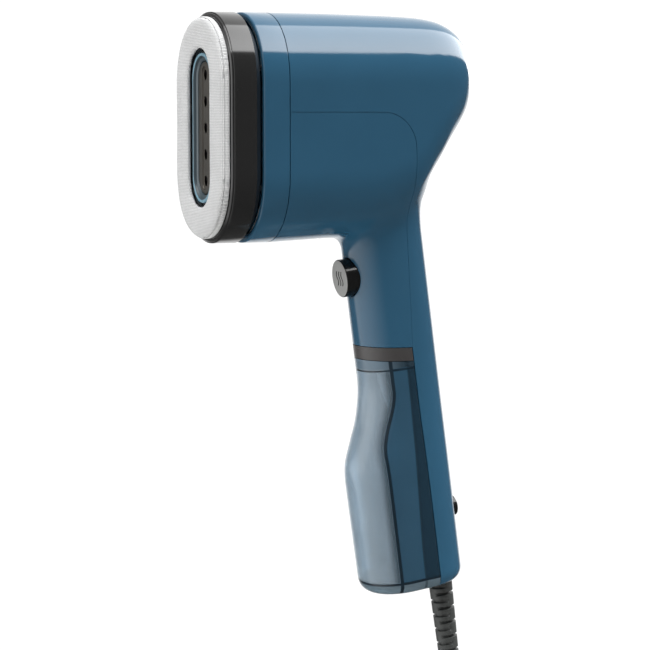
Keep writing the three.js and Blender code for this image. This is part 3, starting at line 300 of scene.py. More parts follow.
route += [(7.1, 68.7, -241.0), (7.0, 68.6, -250.0), (7.0, 68.5, -258.0), (7.0, 68.5, -266.5)]
cord_curve = bpy.data.curves.new("power_cord", "CURVE")
cord_curve.dimensions = "3D"
cord_curve.bevel_depth = CORD / 2 * MM
cord_curve.bevel_resolution = 5
cord_curve.resolution_u = 4
line = cord_curve.splines.new("BEZIER")
line.bezier_points.add(len(route) - 1)
for point, at in zip(line.bezier_points, route):
    point.co = Vector(at) * MM
    point.handle_left_type = point.handle_right_type = "AUTO"
cord_piece = bpy.data.objects.new("power_cord", cord_curve)
bpy.context.scene.collection.objects.link(cord_piece)
# Soft PVC: dark grey and half matt, so that each turn shows a broad dull highlight.
pvc = moulded("soft_pvc", "2b2c2c", 0.52, grain=1.43, depth=0.05, mottle=0.08, IOR=1.53)
cord_curve.materials.append(pvc)
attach(cord_piece, "body")
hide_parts("cord_lead", "cord_coil", "cord_end")


# ---------- plug
# Two-pin plug moulded onto the cord in the same soft PVC: an oval body that narrows into a
# ribbed neck. Its pins are the CAD's own, nickel plated.
def oval(half_x, half_z, count=48, power=2.15):
    """Points round an oval with straight sides and rounded ends, wide half first."""
    straight = max(half_z - half_x, 0.2)
    end = half_z - straight
    points = []
    for side in (1, -1):
        for angle in np.linspace(0, math.pi, count + 1):
            c, s = side * math.cos(angle), side * math.sin(angle)
            points.append((
                half_x * math.copysign(abs(c) ** (2 / power), c),
                side * straight + end * math.copysign(abs(s) ** (2 / power), s),
            ))
    return points


def skinned(rings, closed=False):
    """Points and faces of a skin over rings of equal count, capped unless it is closed."""
    count = len(rings[0])
    points = [p for ring in rings for p in ring]
    faces = []
    for row in range(len(rings) if closed else len(rings) - 1):
        a, b = row * count, ((row + 1) % len(rings)) * count
        for i in range(count):
            j = (i + 1) % count
            faces.append((a + i, a + j, b + j, b + i))
    if not closed:
        faces += [tuple(range(count - 1, -1, -1)), tuple(range(len(points) - count, len(points)))]
    return points, faces


PLUG_TOP = np.array([7.0, 68.5, -266.0])
RIB_COUNT, RIB_PITCH = 4, 2.4
RIB_RADIUS, GROOVE_RADIUS = 5.5, 4.8
RIB_GROWTH = 0.35
neck_rows = [(0.0, 4.6), (0.4, 5.2)]
for rib in range(RIB_COUNT):
    top = 1.0 + rib * RIB_PITCH
    growth = RIB_GROWTH * rib
    neck_rows += [
        (top, RIB_RADIUS + growth), (top + 1.3, RIB_RADIUS + growth),
        (top + 1.5, GROOVE_RADIUS + growth), (top + 2.2, GROOVE_RADIUS + growth),
    ]
plug_rows = [
    (10.8, 6.2, 7.6), (12.5, 6.6, 9.6), (15, 6.9, 11.6), (18, 7.0, 12.7),
    (22, 7.0, 13.0), (30.6, 7.0, 13.0), (31.6, 6.6, 12.6), (32, 5.9, 11.9),
]
plug_rings = []
for down, radius in neck_rows:
    plug_rings.append([(x, y, -down) for y, x in oval(radius * 0.98, radius, 24)])
for down, half_y, half_x in plug_rows:
    plug_rings.append([(x, y, -down) for y, x in oval(half_y, half_x, 24)])
plug = mesh_piece(
    "moulded_plug", *skinned([(np.array(r) + PLUG_TOP) * MM for r in plug_rings]), pvc)
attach(plug, "body")
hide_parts("plug_body")
# Nickel plate: a pale, slightly warm mirror.
nickel = moulded("nickel_plate", "c3c0b8", 0.22, grain=3.33, depth=0.04, mottle=0.04, Metallic=1.0)
for pin in ("plug_pin_left", "plug_pin_right"):
    frame["nodes"][pin].data.materials[0] = nickel

# ---------- cord tie
# Hook-and-loop strap of woven nylon, wrapped round the bundle at its top and pressed shut.
# One flat band with rounded corners, a little crowned.
STRAP_HALF_WIDTH = 6.0
STRAP_INSIDE, STRAP_OUTSIDE = 11.2, 12.4
STRAP_CROWN = 0.25
STRAP_Y, STRAP_Z = 15.0, -193.5
SQUARENESS = 6
strap_rings = []
for across in np.linspace(-STRAP_HALF_WIDTH, STRAP_HALF_WIDTH, 25):
    crown = STRAP_CROWN * (1 - (across / STRAP_HALF_WIDTH) ** 2)
    ring = []
    for out in (STRAP_INSIDE, STRAP_OUTSIDE + crown):
        turn_points = []
        for angle in np.linspace(0, 2 * math.pi, 97)[:-1]:
            c, s = math.cos(angle), math.sin(angle)
            stretch = out * (abs(c) ** SQUARENESS + abs(s) ** SQUARENESS) ** (-1 / SQUARENESS)
            turn_points.append((stretch * c, STRAP_Y + across, STRAP_Z + stretch * s))
        ring.append(turn_points)
    strap_rings.append(ring)
outer = [np.array(r[1]) * MM for r in strap_rings]
inner = [np.array(r[0]) * MM for r in strap_rings][::-1]
points, faces = skinned(outer + inner, closed=True)
# Looped nylon: black, with a soft nap that catches no highlight.
strap_cloth, tree = new_material("hook_and_loop_strap")
fuzz = spots(tree, 0.385, 3, 0.8)
tint = put(tree, "ShaderNodeMix", {
    "Factor": fuzz, 6: linear("191a1a"), 7: linear("323434"),
}, data_type="RGBA")
nap = put(tree, "ShaderNodeBump", {"Strength": 0.6, "Distance": 0.6 * MM, "Height": fuzz})
cloth = put(tree, "ShaderNodeBsdfPrincipled", {
    "Base Color": tint.outputs[2], "Roughness": 0.9, "Normal": nap.outputs["Normal"],
    "Sheen Weight": 0.3,
})
put(tree, "ShaderNodeOutputMaterial", {"Surface": cloth.outputs[0]})
strap = mesh_piece("cord_strap", points, faces, strap_cloth)
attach(strap, "body")
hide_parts("cord_tie")

# ---------- strain relief
# Black rubber sleeve pushed into the grip's foot: a plain neck, then slots let in from the
# left and right in turn, so that it bends with the cord.
# Moulded rubber: very dark grey and half matt, so that the slots read by their shade.
rubber = moulded("black_rubber", "3c3e3d", 0.5, grain=1.25, depth=0.06, mottle=0.1, IOR=1.52)
RELIEF_LENGTH = 42.0
RELIEF_TOP, RELIEF_TAPER = 5.6, 0.9
RELIEF_CORE = 3.75
SLOT_COUNT, SLOT_PITCH = 11, 3.45
FIRST_SLOT, SLOT_HEIGHT, SLOT_SLOPE = 3.4, 1.6, 0.25
GRIP_FOOT = -120.6
levels = [-6.3, -6.0, -0.2, 0.0]
for slot in range(SLOT_COUNT):
    top = FIRST_SLOT + slot * SLOT_PITCH
    levels += [top, top + SLOT_SLOPE, top + SLOT_HEIGHT - SLOT_SLOPE, top + SLOT_HEIGHT]
levels += [RELIEF_LENGTH - 0.5, RELIEF_LENGTH]
relief_rings = []
for down in levels:
    base = RELIEF_TOP - RELIEF_TAPER * max(down, 0) / RELIEF_LENGTH
    if down in (levels[0], levels[-1]):
        base -= 0.4
    place = (down - FIRST_SLOT) / SLOT_PITCH
    number, inside = math.floor(place), place - math.floor(place)
    slotted = 0 <= number < SLOT_COUNT and 0.04 < inside < 0.44
    side = math.radians(27 if number % 2 else -73)
    ring = []
    for angle in np.linspace(0, 2 * math.pi, 65)[:-1]:
        deep = min(max((math.cos(angle - side) - 0.1) / 0.5, 0), 1)
        radius = base - (base - RELIEF_CORE) * deep if slotted else base
        ring.append((
            radius * math.cos(angle), RELIEF_Y + radius * math.sin(angle), GRIP_FOOT - down))
    relief_rings.append(leaned(ring))
relief = mesh_piece("slotted_relief", *skinned(relief_rings), rubber)
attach(relief, "body")
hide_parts("strain_relief")

# ---------- forms of the body
# The head is an oval that drops and narrows to the rear, the grip a rounded column that
# bulges over the tank; both are smooth curves through a few stations.
# Each head station: share of the length, drop of the top, rise of the underside, width.
HEAD_STATIONS = np.array([
    [0.000, 0.000, 0.000, 1.000],
    [0.272, 0.001, 0.012, 0.998],
    [0.432, 0.003, 0.020, 0.992],
    [0.633, 0.007, 0.095, 0.975],
    [0.775, 0.016, 0.278, 0.925],
    [0.856, 0.034, 0.398, 0.840],
    [0.916, 0.067, 0.478, 0.720],
    [0.960, 0.123, 0.535, 0.520],
    [0.988, 0.196, 0.600, 0.300],
    [1.000, 0.294, 0.677, 0.040],
])
SEAM_Y = -63.1
HEAD_LENGTH = 98.0
HEAD_HALF = np.array([32.3, 50.95])
HEAD_MIDDLE = 91.55


def curve_through(stations, count):
    """Points on a smooth curve through the stations, evenly spaced along it."""
    stations = np.asarray(stations, float)
    spans = np.sqrt(np.linalg.norm(np.diff(stations, axis=0), axis=1)) + 1e-6
    knots = np.concatenate([[0], np.cumsum(spans)])
    slopes = np.empty_like(stations)
    rates = np.diff(stations, axis=0) / spans[:, None]
    slopes[0], slopes[-1] = rates[0], rates[-1]
    weight = (spans[1:] / (spans[1:] + spans[:-1]))[:, None]
    slopes[1:-1] = rates[:-1] * weight + rates[1:] * (1 - weight)
    steady = np.vstack([np.zeros((1, stations.shape[1])), rates]) * np.vstack(
        [rates, np.zeros((1, stations.shape[1]))])
    slopes[1:-1] = np.where(steady[1:-1] > 0, slopes[1:-1], 0)
    result = []
    for t in np.linspace(0, knots[-1], count):
        k = min(np.searchsorted(knots, t, side="right") - 1, len(spans) - 1)
        u = (t - knots[k]) / spans[k]
        h = spans[k]
        result.append(
            (2 * u**3 - 3 * u**2 + 1) * stations[k] + (u**3 - 2 * u**2 + u) * h * slopes[k]
            + (-2 * u**3 + 3 * u**2) * stations[k + 1] + (u**3 - u**2) * h * slopes[k + 1])
    return np.array(result)


def head_rings(inset, count=70, ahead=0.0):
    """Rings along the head, in millimetres, smaller all round by the inset."""
    height = 2 * (HEAD_HALF[1] - inset)
    rings = []
    for along, drop, rise, width in curve_through(HEAD_STATIONS, count):
        high = HEAD_MIDDLE + height / 2 - drop * height
        low = HEAD_MIDDLE - height / 2 + rise * height
        half = max((high - low) / 2, 0.4)
        across = min((HEAD_HALF[0] - inset) * max(width, 0.02), half)
        y = SEAM_Y + along * (HEAD_LENGTH - inset)
        rings.append([(x, y, z + (high + low) / 2) for x, z in oval(across, half)])
    if ahead:
        rings.insert(0, [(x, y - ahead, z) for x, y, z in rings[0]])
    return rings


# The grip's neck inside the head: height, half depth to the rear, half width.
SWELL = [
    (92, 9, 8), (82, 17.5, 15), (73, 22.3, 19.6), (64, 21.6, 20.2), (56, 19.6, 18.8),
    (47, 18.6, 18.1), (38, 18.45, 18.0),
]
# Its bulge over the tank: share of the way down, share forward, share sideways.
BULGE = [
    (0.123, 0.03, 0.0), (0.251, 0.29, 0.10), (0.335, 0.59, 0.40), (0.446, 0.95, 0.75),
    (0.575, 1.0, 0.95), (0.764, 0.98, 1.0), (0.943, 0.96, 1.0),
]
GRIP_HALF_DEPTH, GRIP_HALF_WIDTH = 18.45, 18.0
BULGE_TOP = -14.0
BULGE_FORWARD, BULGE_SIDEWAYS = 12.0, 1.6
FOOT_ROUND = 5.2


def grip_rings(inset, count=90):
    """Rings down the grip in its own frame, in millimetres, from inside the head to the foot."""
    rows = [(z, -GRIP_HALF_DEPTH, rear, side) for z, rear, side in SWELL]
    rows.append((BULGE_TOP, -GRIP_HALF_DEPTH, GRIP_HALF_DEPTH, GRIP_HALF_WIDTH))
    for share, out, wide in BULGE:
        rows.append((
            BULGE_TOP - share * (BULGE_TOP - GRIP_FOOT), -GRIP_HALF_DEPTH - BULGE_FORWARD * out,
            GRIP_HALF_DEPTH, GRIP_HALF_WIDTH + BULGE_SIDEWAYS * wide))
    rows = curve_through(rows, count).tolist()
    last = rows[-1]
    for angle in np.linspace(0.15, math.pi / 2, 7):
        back = FOOT_ROUND * (1 - math.cos(angle))
        fall = (last[0] - GRIP_FOOT) * math.sin(angle)
        rows.append([last[0] - fall, last[1] + back, last[2] - back, last[3] - back])
    rings = []
    for z, front, rear, side in rows:
        half = (rear - front) / 2 - inset
        middle = (rear + front) / 2
        z = max(z, GRIP_FOOT + inset)
        rings.append([(x, y + middle, z) for x, y in oval(side - inset, max(half, side - inset + 0.4))])
    kept = [rings[0]]
    for ring in rings[1:]:
        if kept[-1][0][2] - ring[0][2] > 1e-4:
            kept.append(ring)
    return kept


def applied(piece):
    """Makes a piece's modifiers part of its mesh, and gives the new mesh."""
    graph = bpy.context.evaluated_depsgraph_get()
    mesh = bpy.data.meshes.new_from_object(piece.evaluated_get(graph))
    piece.modifiers.clear()
    old, piece.data = piece.data, mesh
    bpy.data.meshes.remove(old)
    return mesh


def cut(piece, cutter, operation="DIFFERENCE"):
    """Cuts a piece by another and clears the cutter away."""
    step = piece.modifiers.new("cut", "BOOLEAN")
    step.operation = operation
    step.solver = "EXACT"
    step.object = cutter
    applied(piece)
    bpy.data.objects.remove(cutter)


def joined(piece, other):
    """Adds another piece's faces to a piece."""
    work = bmesh.new()
    work.from_mesh(piece.data)
    work.from_mesh(other.data)
    work.to_mesh(piece.data)
    work.free()


def copied(piece, name):
    """A copy of a piece under a new name."""
    twin = bpy.data.objects.new(name, piece.data.copy())
    bpy.context.scene.collection.objects.link(twin)
    return twin


def meshed(piece):
    """A search tree over a piece with what is needed to read a smooth normal from it."""
    data = piece.data
    data.calc_loop_triangles()
    corners = np.array([t.vertices[:] for t in data.loop_triangles])
    places = np.array([v.co[:] for v in data.vertices])
    sides = np.array([v.normal[:] for v in data.vertices])
    tree = BVHTree.FromPolygons(places.tolist(), corners.tolist())
    return tree, corners, places, sides


def measured(form, points):
    """Signed distance from a form, and the smooth outward direction there."""
    tree, corners, places, sides = form
    found = [tree.find_nearest(Vector(p)) for p in points]
    near = np.array([f[0][:] for f in found])
    at = corners[[f[2] for f in found]]
    a, b, c = places[at[:, 0]], places[at[:, 1]], places[at[:, 2]]
    ab, ac, ap = b - a, c - a, near - a
    d00, d01, d11 = (ab * ab).sum(1), (ab * ac).sum(1), (ac * ac).sum(1)
    d20, d21 = (ap * ab).sum(1), (ap * ac).sum(1)
    spread = np.maximum(d00 * d11 - d01 * d01, 1e-18)
    v, w = (d11 * d20 - d01 * d21) / spread, (d00 * d21 - d01 * d20) / spread
    normal = (1 - v - w)[:, None] * sides[at[:, 0]] + v[:, None] * sides[at[:, 1]]
    normal += w[:, None] * sides[at[:, 2]]
    normal /= np.linalg.norm(normal, axis=1)[:, None]
    return ((points - near) * normal).sum(1), normal


def blended(forms, points, width):
    """Distance and direction for two forms run together with a fillet."""
    (d1, n1), (d2, n2) = (measured(form, points) for form in forms)
    share = np.clip(0.5 + 0.5 * (d2 - d1) / width, 0, 1)
    distance = d2 * (1 - share) + d1 * share - width * share * (1 - share)
    normal = n2 * (1 - share)[:, None] + n1 * share[:, None]
    return distance, normal


FILLET = 7 * MM
FORM_STEP = 1.15 * MM
# Glossy ABS: deep petrol blue with a near mirror finish, which shows the studio's strips.
housing = moulded(
    "housing_abs", "29516a", 0.1, grain=0.909, depth=0.006, mottle=0.03, spread=0.015, IOR=1.56)
head_form = mesh_piece("head_form", *skinned(np.array(head_rings(0, ahead=3)) * MM), housing)
grip_form = mesh_piece("grip_form", *skinned([leaned(r) for r in grip_rings(0)]), housing)
forms = [meshed(head_form), meshed(grip_form)]
body_form = copied(head_form, "body_form")
joined(body_form, grip_form)
fine = body_form.modifiers.new("fine", "REMESH")
fine.mode = "VOXEL"
fine.voxel_size = FORM_STEP
mesh = applied(body_form)
places = np.array([v.co[:] for v in mesh.vertices])
for _ in range(3):
    distance, normal = blended(forms, places, FILLET)
    places -= distance[:, None] * normal / (normal * normal).sum(1)[:, None]
mesh.vertices.foreach_set("co", places.ravel())
mesh.update()
settle(body_form)


# ---------- front housing, rear cover
# Two glossy ABS shells, moulded in one petrol blue, that meet along a hairline seam. Both are
# cut from one outer form, hollow inside, and close on each other over the works.
WIDE, FAR, HIGH = 90, 200, 300


def prism(outline, low=-WIDE, high=WIDE):
    """A block with an outline drawn in Y and Z, in millimetres, right across X."""
    rings = [[(x, y, z) for y, z in outline] for x in (low, high)]
    return mesh_piece("block", *skinned(np.array(rings) * MM), housing)


def block(low, high):
    """A box between two corners, in millimetres."""
    outline = [(low[1], low[2]), (high[1], low[2]), (high[1], high[2]), (low[1], high[2])]
    return prism(outline, low[0], high[0])


def rod(start, end, radii, sides=64):
    """A round bar or cone in the grip's frame, in millimetres."""
    start, end = np.array(start, float), np.array(end, float)
    along = (end - start) / np.linalg.norm(end - start)
    side = np.cross(along, (1, 0, 0) if abs(along[0]) < 0.9 else (0, 0, 1))
    side /= np.linalg.norm(side)
    other = np.cross(along, side)
    rings = []
    for at, radius in zip((start, end), radii):
        rings.append(leaned([
            at + radius * (math.cos(a) * side + math.sin(a) * other)
            for a in np.linspace(0, 2 * math.pi, sides + 1)[:-1]]))
    return mesh_piece("bar", *skinned(rings), housing)


SPLIT = 1.25
BAND_TOP = -7.8
BEND_Y, BEND_Z, BEND_RADIUS = -18.5, 82.5, 15.9
SEAM_GAP = 0.21
WALL = 2.4
BUTTON_LEVEL = 26.4
BUTTON_BORE = 9.1
POWER_LEVEL = -88.5
OUTLET_Y = -8.0
FILLER_X, FILLER_Y = 8.9, -7.5
corner = leaned([[0, SPLIT, BAND_TOP / math.cos(TILT)]])[0] / MM


def under_seam(grow):
    """The outline of everything in front of and below the seam, closer set down the grip."""
    fine = grow / 3
    radius = BEND_RADIUS + grow
    line = [(-FAR, BEND_Z + radius), (BEND_Y, BEND_Z + radius)]
    for angle in np.linspace(math.pi / 2, 0, 25)[1:]:
        line.append((BEND_Y + radius * math.cos(angle), BEND_Z + radius * math.sin(angle)))
    line.append((corner[1] + fine, corner[2]))
    line.append((corner[1] + fine + HIGH * math.sin(TILT), corner[2] - HIGH * math.cos(TILT)))
    line.append((-FAR, corner[2] - HIGH * math.cos(TILT)))
    return line


def hollow(floor_level, wall=WALL):
    """The space inside the shells, down to a level."""
    inside = mesh_piece("inside", *skinned(np.array(head_rings(wall, 40, ahead=6)) * MM), housing)
    column = mesh_piece("column", *skinned([leaned(r) for r in grip_rings(wall, 50)]), housing)
    cut(inside, column, "UNION")
    cut(inside, block((-WIDE, -FAR, floor_level), (WIDE, FAR, HIGH)), "INTERSECT")
    return inside


front = copied(body_form, "front_shell")
cut(front, prism(under_seam(0)), "INTERSECT")
cut(front, block((-WIDE, SEAM_Y, BAND_TOP + 0.3), (WIDE, FAR, HIGH)), "INTERSECT")
cut(front, rod((0, -18.0, BUTTON_LEVEL), (0, -34, BUTTON_LEVEL), (9.4, 22.5), 96))
cut(front, hollow(-5.1))
cut(front, rod((0, -34, BUTTON_LEVEL), (0, 0, BUTTON_LEVEL), (BUTTON_BORE, BUTTON_BORE), 96))
cut(front, rod((0, OUTLET_Y, -20), (0, OUTLET_Y, 10), (6.8, 6.8)))
cut(front, rod((FILLER_X, FILLER_Y, -20), (FILLER_X, FILLER_Y, 10), (4.2, 4.2)))
settle(front)
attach(front, "body")
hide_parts("front_housing")

# The rear shell touches the front one; the seam is a shallow groove along their joint.
rear = copied(body_form, "rear_shell")
cut(rear, prism(under_seam(0)))
groove = prism(under_seam(SEAM_GAP))
cut(groove, hollow(-FAR, 0.9))
cut(rear, groove)
cut(rear, block((-WIDE, SEAM_Y, -FAR), (WIDE, FAR, HIGH)), "INTERSECT")
cut(rear, hollow(-FAR))
cut(rear, rod((0, 2, POWER_LEVEL), (0, 30, POWER_LEVEL), (5.1, 5.1)))
cut(rear, rod((0, RELIEF_Y, -130), (0, RELIEF_Y, -113.8), (5.9, 5.9)))
settle(rear)
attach(rear, "body")
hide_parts("rear_cover")


# ---------- steam head
# What carries the steam to the cloth: an ABS collar in the housing's blue, a navy neck set
# back behind it, a black ring with a stepped lip, and a pale blue trim round the sole plate.
# They are moulded rings, screwed together from inside.
def head_oval(half_x, half_z, y, count):
    """An oval across the head at a place along it, in metres from sizes in millimetres."""
    return [(x * MM, y * MM, (z + HEAD_MIDDLE) * MM) for x, z in oval(half_x, half_z, count)]


def banded(name, profile, material, count=64, half=HEAD_HALF):
    """A ring round the head's oval: (inset, y) pairs swept round it, in millimetres."""
    rings = [head_oval(half[0] - inset, half[1] - inset, y, count) for inset, y in profile]
    return mesh_piece(name, *skinned(rings, closed=True), material, 50)


def rounded(inset, y, radius, start, stop, steps=5):
    """Points of a rounded edge about a centre, in inset and y, between two angles."""
    angles = np.radians(np.linspace(start, stop, steps + 1))
    return [(inset - radius * math.cos(a), y + radius * math.sin(a)) for a in angles]


collar = banded("blue_collar", [
    (14, -63.4), *rounded(0.25, -63.65, 0.25, 90, 0, 3), *rounded(1.1, -74.3, 1.1, 0, -90, 6),
    (2.6, -75.4), (2.9, -75.1), (3.2, -73.2), (14, -73.2),
], housing)
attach(collar, "body")
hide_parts("head_collar")

# Matt ABS in navy: the neck stays dark in its gap.
navy = moulded("navy_abs", "0b2433", 0.6, grain=1.11, depth=0.02, IOR=1.54)
neck = banded("navy_neck", [
    (14, -75.7), (3.6, -75.7), (3.6, -78.2), (14, -78.2),
], navy)
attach(neck, "body")
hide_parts("neck_spacer")

# Glass-filled polyamide that stands the heat: near black, polished, with crisp reflections.
black_ring = moulded(
    "black_polyamide", "212121", 0.11, grain=1, depth=0.006, mottle=0.04, spread=0.015, IOR=1.53)
ring = banded("black_ring", [
    (19.8, -78.5), *rounded(0.35, -78.85, 0.35, 90, 0, 4), *rounded(0.35, -88.6, 0.25, 0, -60, 4),
    (0.62, -88.85), *rounded(1.0, -89.3, 0.35, 30, -50, 4), *rounded(1.75, -89.65, 0.35, -50, -90, 3),
    (2.3, -90.0), (2.45, -89.6), (2.8, -89.6), (3.0, -90.0), (19.8, -90.0),
], black_ring)
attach(ring, "body")
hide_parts("steam_ring")

# ABS in pale blue for the thin lip. The wall inside it is a darker grey teal, painted shade for the
# recess round the sole plate.
TRIM_HALF = (12.1, 33.0)
LIP_INSIDE = 10.75
pale_blue = moulded("pale_blue_abs", "6a8f9f", 0.3, grain=1.11, depth=0.02, IOR=1.54)
trim = banded("blue_trim", [
    (3.5, -83.2), (0, -83.2), *rounded(0.6, -91.8, 0.6, 0, -90, 5),
    *rounded(1.2, -92.0, 0.4, -90, -150, 4), (2.0, -91.2), (3.3, -90.9), (3.5, -90.7),
], pale_blue, half=TRIM_HALF)
trim_wall_painted_shade = moulded("painted_shade_teal_abs", "35434a", 0.35, grain=1.11, depth=0.02, IOR=1.54)
# Painted shade: the faces inside the lip take the darker grey teal.
trim.data.materials.append(trim_wall_painted_shade)
for face in trim.data.polygons:
    x, _, z = (n / MM for n in face.center)
    past_straight = max(abs(z - HEAD_MIDDLE) - (TRIM_HALF[1] - TRIM_HALF[0]), 0)
    face.material_index = int(math.hypot(x, past_straight) < LIP_INSIDE)
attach(trim, "body")
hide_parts("trim_ring")

# ---------- sole plate
# Die-cast aluminium plate, hard anodised, with a shallow channel milled down its middle and
# five countersunk steam holes. A gasket seals it to the steam chamber behind.
# Hard anodising over a brushed face: warm dark grey, with fine streaks along the plate.
sole_metal, tree = new_material("anodised_aluminium")
place = put(tree, "ShaderNodeTexCoord").outputs["Object"]
brushed = put(tree, "ShaderNodeMapping", {"Vector": place, "Scale": (2600, 800, 90)})
streaks = put(tree, "ShaderNodeTexNoise", {
    "Vector": brushed.outputs[0], "Scale": 1.0, "Detail": 3.0}).outputs["Fac"]
tint = put(tree, "ShaderNodeMix", {
    "Factor": streaks, 6: linear("3f3d39"), 7: linear("5f5b54"),
}, data_type="RGBA")
bump = put(tree, "ShaderNodeBump", {"Strength": 0.12, "Distance": 0.2 * MM, "Height": streaks})
anodised = put(tree, "ShaderNodeBsdfPrincipled", {
    "Base Color": tint.outputs[2], "Metallic": 0.85, "Normal": bump.outputs["Normal"],
    "Roughness": between(tree, spots(tree, 8.33, 3), 0.3, 0.42),
})
put(tree, "ShaderNodeOutputMaterial", {"Surface": anodised.outputs[0]})


plate_rings = [
    head_oval(8.2 - inset, 29.1 - inset, y, 40)
    for inset, y in [(0.2, -90.1), (0, -90.25), (0, -90.6), (0.4, -90.85), (0.9, -90.9)]
]
sole = mesh_piece("sole_face", *skinned(plate_rings), sole_metal)
channel = [head_oval(2.9, 27.2, -90.55, 24), head_oval(3.9, 27.2, -92, 24)]
cut(sole, mesh_piece("channel", *skinned(channel), sole_metal))

# A Geometry Nodes tree for a row of drills or countersinks that point into the plate.
drill_row = bpy.data.node_groups.new("drill_row", "GeometryNodeTree")
for name, kind in (
        ("Count", "Int"), ("First", "Vector"), ("Step", "Vector"), ("Front", "Float"),
        ("Back", "Float"), ("Depth", "Float"), ("Metal", "Material")):
    drill_row.interface.new_socket(name, in_out="INPUT", socket_type="NodeSocket" + kind)
drill_row.interface.new_socket("Drills", in_out="OUTPUT", socket_type="NodeSocketGeometry")
given = put(drill_row, "NodeGroupInput").outputs
row = put(drill_row, "GeometryNodeMeshLine", {
    "Count": given["Count"], "Start Location": given["First"], "Offset": given["Step"]})
cone = put(drill_row, "GeometryNodeMeshCone", {
    "Vertices": 40, "Radius Bottom": given["Front"], "Radius Top": given["Back"],
    "Depth": given["Depth"]})
drills = put(drill_row, "GeometryNodeInstanceOnPoints", {
    "Points": row.outputs["Mesh"], "Instance": cone.outputs["Mesh"],
    "Rotation": (math.radians(-90), 0, 0)})
real = put(drill_row, "GeometryNodeRealizeInstances", {"Geometry": drills.outputs[0]})
coated = put(drill_row, "GeometryNodeSetMaterial", {
    "Geometry": real.outputs[0], "Material": given["Metal"]})
put(drill_row, "NodeGroupOutput", {"Drills": coated.outputs[0]})


def drilled(piece, count, first, pitch, front, back):
    """Drills a row of holes or countersinks; each is a (y, radius) pair at either end."""
    drill = bpy.data.objects.new("drill", bpy.data.meshes.new("drill"))
    bpy.context.scene.collection.objects.link(drill)
    step = drill.modifiers.new("row", "NODES")
    step.node_group = drill_row
    sizes = {
        "Count": count, "First": (0.0, front[0] * MM, first * MM), "Step": (0.0, 0.0, pitch * MM),
        "Front": front[1] * MM, "Back": back[1] * MM, "Depth": (back[0] - front[0]) * MM,
        "Metal": sole_metal,
    }
    for socket in drill_row.interface.items_tree:
        if socket.in_out == "INPUT":
            step[socket.identifier] = sizes[socket.name]
    applied(drill)
    settle(drill)
    cut(piece, drill)


HOLES, HOLE_PITCH = 5, 11.65
lowest_hole = HEAD_MIDDLE - (HOLES - 1) / 2 * HOLE_PITCH
drilled(sole, HOLES, lowest_hole, HOLE_PITCH, (-95.0, 2.2), (-88.0, 2.2))
drilled(sole, HOLES, lowest_hole, HOLE_PITCH, (-91.2, 3.1), (-90.2, 2.1))
drilled(sole, 1, HEAD_MIDDLE + 25.6, HOLE_PITCH, (-92.0, 1.7), (-90.3, 1.0))
settle(sole)
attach(sole, "body")
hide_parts("sole_plate")

# ---------- pad
# Microfibre cloth over thin foam, a stitched oval with a slot for the steam. It is puffed up
# a little by a cloth simulation, and its hem goes back round its edge to the carrier.
PAD_FRONT, PAD_BACK, PAD_FLAT = -94.95, -91.85, -92.6
pad_shape = []
outer_half, slot_half = (29.9, 48.55), (13.9, 34.8)
for inset, y in [(0.1, -91.9), (0, -92.6), (0.6, -93.3), (1.8, -93.9), (3.4, -94.2)]:
    pad_shape.append([(x, y, z) for x, z in oval(outer_half[0] - inset, outer_half[1] - inset, 40)])
for inset, y in [(1.4, -94.2), (0.5, -93.9), (0, -93.2), (0, -92.2)]:
    pad_shape.append([(x, y, z) for x, z in oval(slot_half[0] + inset, slot_half[1] + inset, 40)])
pad_shape = np.array(pad_shape) + (0, 0, HEAD_MIDDLE)
# Woven microfibre: pale grey and matt, with a nap over threads two thirds of a millimetre
# apart, drawn about twice as coarse as real ones so that they show.
THREAD_TURNS = 2 * math.pi / (0.6684 * MM)
pad_cloth, tree = new_material("microfibre_weave")
place = put(tree, "ShaderNodeTexCoord").outputs["Object"]
split = put(tree, "ShaderNodeSeparateXYZ", {0: place})
wander = put(tree, "ShaderNodeMath", {0: spots(tree, 3.85, 2), 1: 2.4}, operation="MULTIPLY")
threads = []
for axis in ("X", "Z"):
    phase = put(tree, "ShaderNodeMath", {
        0: split.outputs[axis], 1: THREAD_TURNS, 2: wander.outputs[0]}, operation="MULTIPLY_ADD")
    wave = put(tree, "ShaderNodeMath", {0: phase.outputs[0]}, operation="SINE")
    threads.append(put(tree, "ShaderNodeMath", {0: wave.outputs[0], 1: 0.5, 2: 0.5},
                       operation="MULTIPLY_ADD").outputs[0])
weave = put(tree, "ShaderNodeMath", {0: threads[0], 1: threads[1]}, operation="MULTIPLY").outputs[0]
lint = spots(tree, 0.588, 4, 0.75)
height = put(tree, "ShaderNodeMath", {0: lint, 1: 0.9, 2: weave}, operation="MULTIPLY_ADD").outputs[0]
light_dark = put(tree, "ShaderNodeMapRange", {
    "Value": height, "From Min": 0.35, "From Max": 1.15}).outputs["Result"]
tint = put(tree, "ShaderNodeMix", {
    "Factor": light_dark, 6: linear("a9aaab"), 7: linear("e2e2e2"),
}, data_type="RGBA")
patches = between(tree, spots(tree, 11.1, 3), 0.95, 1.03)
shade = put(tree, "ShaderNodeVectorMath", {0: tint.outputs[2], 3: patches}, operation="SCALE")
nap = put(tree, "ShaderNodeBump", {"Strength": 0.5, "Distance": 0.5 * MM, "Height": height})
cloth = put(tree, "ShaderNodeBsdfPrincipled", {
    "Base Color": shade.outputs[0], "Roughness": 0.95, "Normal": nap.outputs["Normal"],
    "Sheen Weight": 0.1, "Sheen Roughness": 0.5,
})
put(tree, "ShaderNodeOutputMaterial", {"Surface": cloth.outputs[0]})
pad = mesh_piece("steam_pad", *skinned(pad_shape * MM, closed=True), pad_cloth, 180)
even = pad.modifiers.new("even", "REMESH")
even.mode = "VOXEL"
even.voxel_size = 0.9 * MM
mesh = applied(pad)
SETTLE_FRAMES = 20
PUFF = 0.8 * MM
flat = np.array([v.co[:] for v in mesh.vertices])
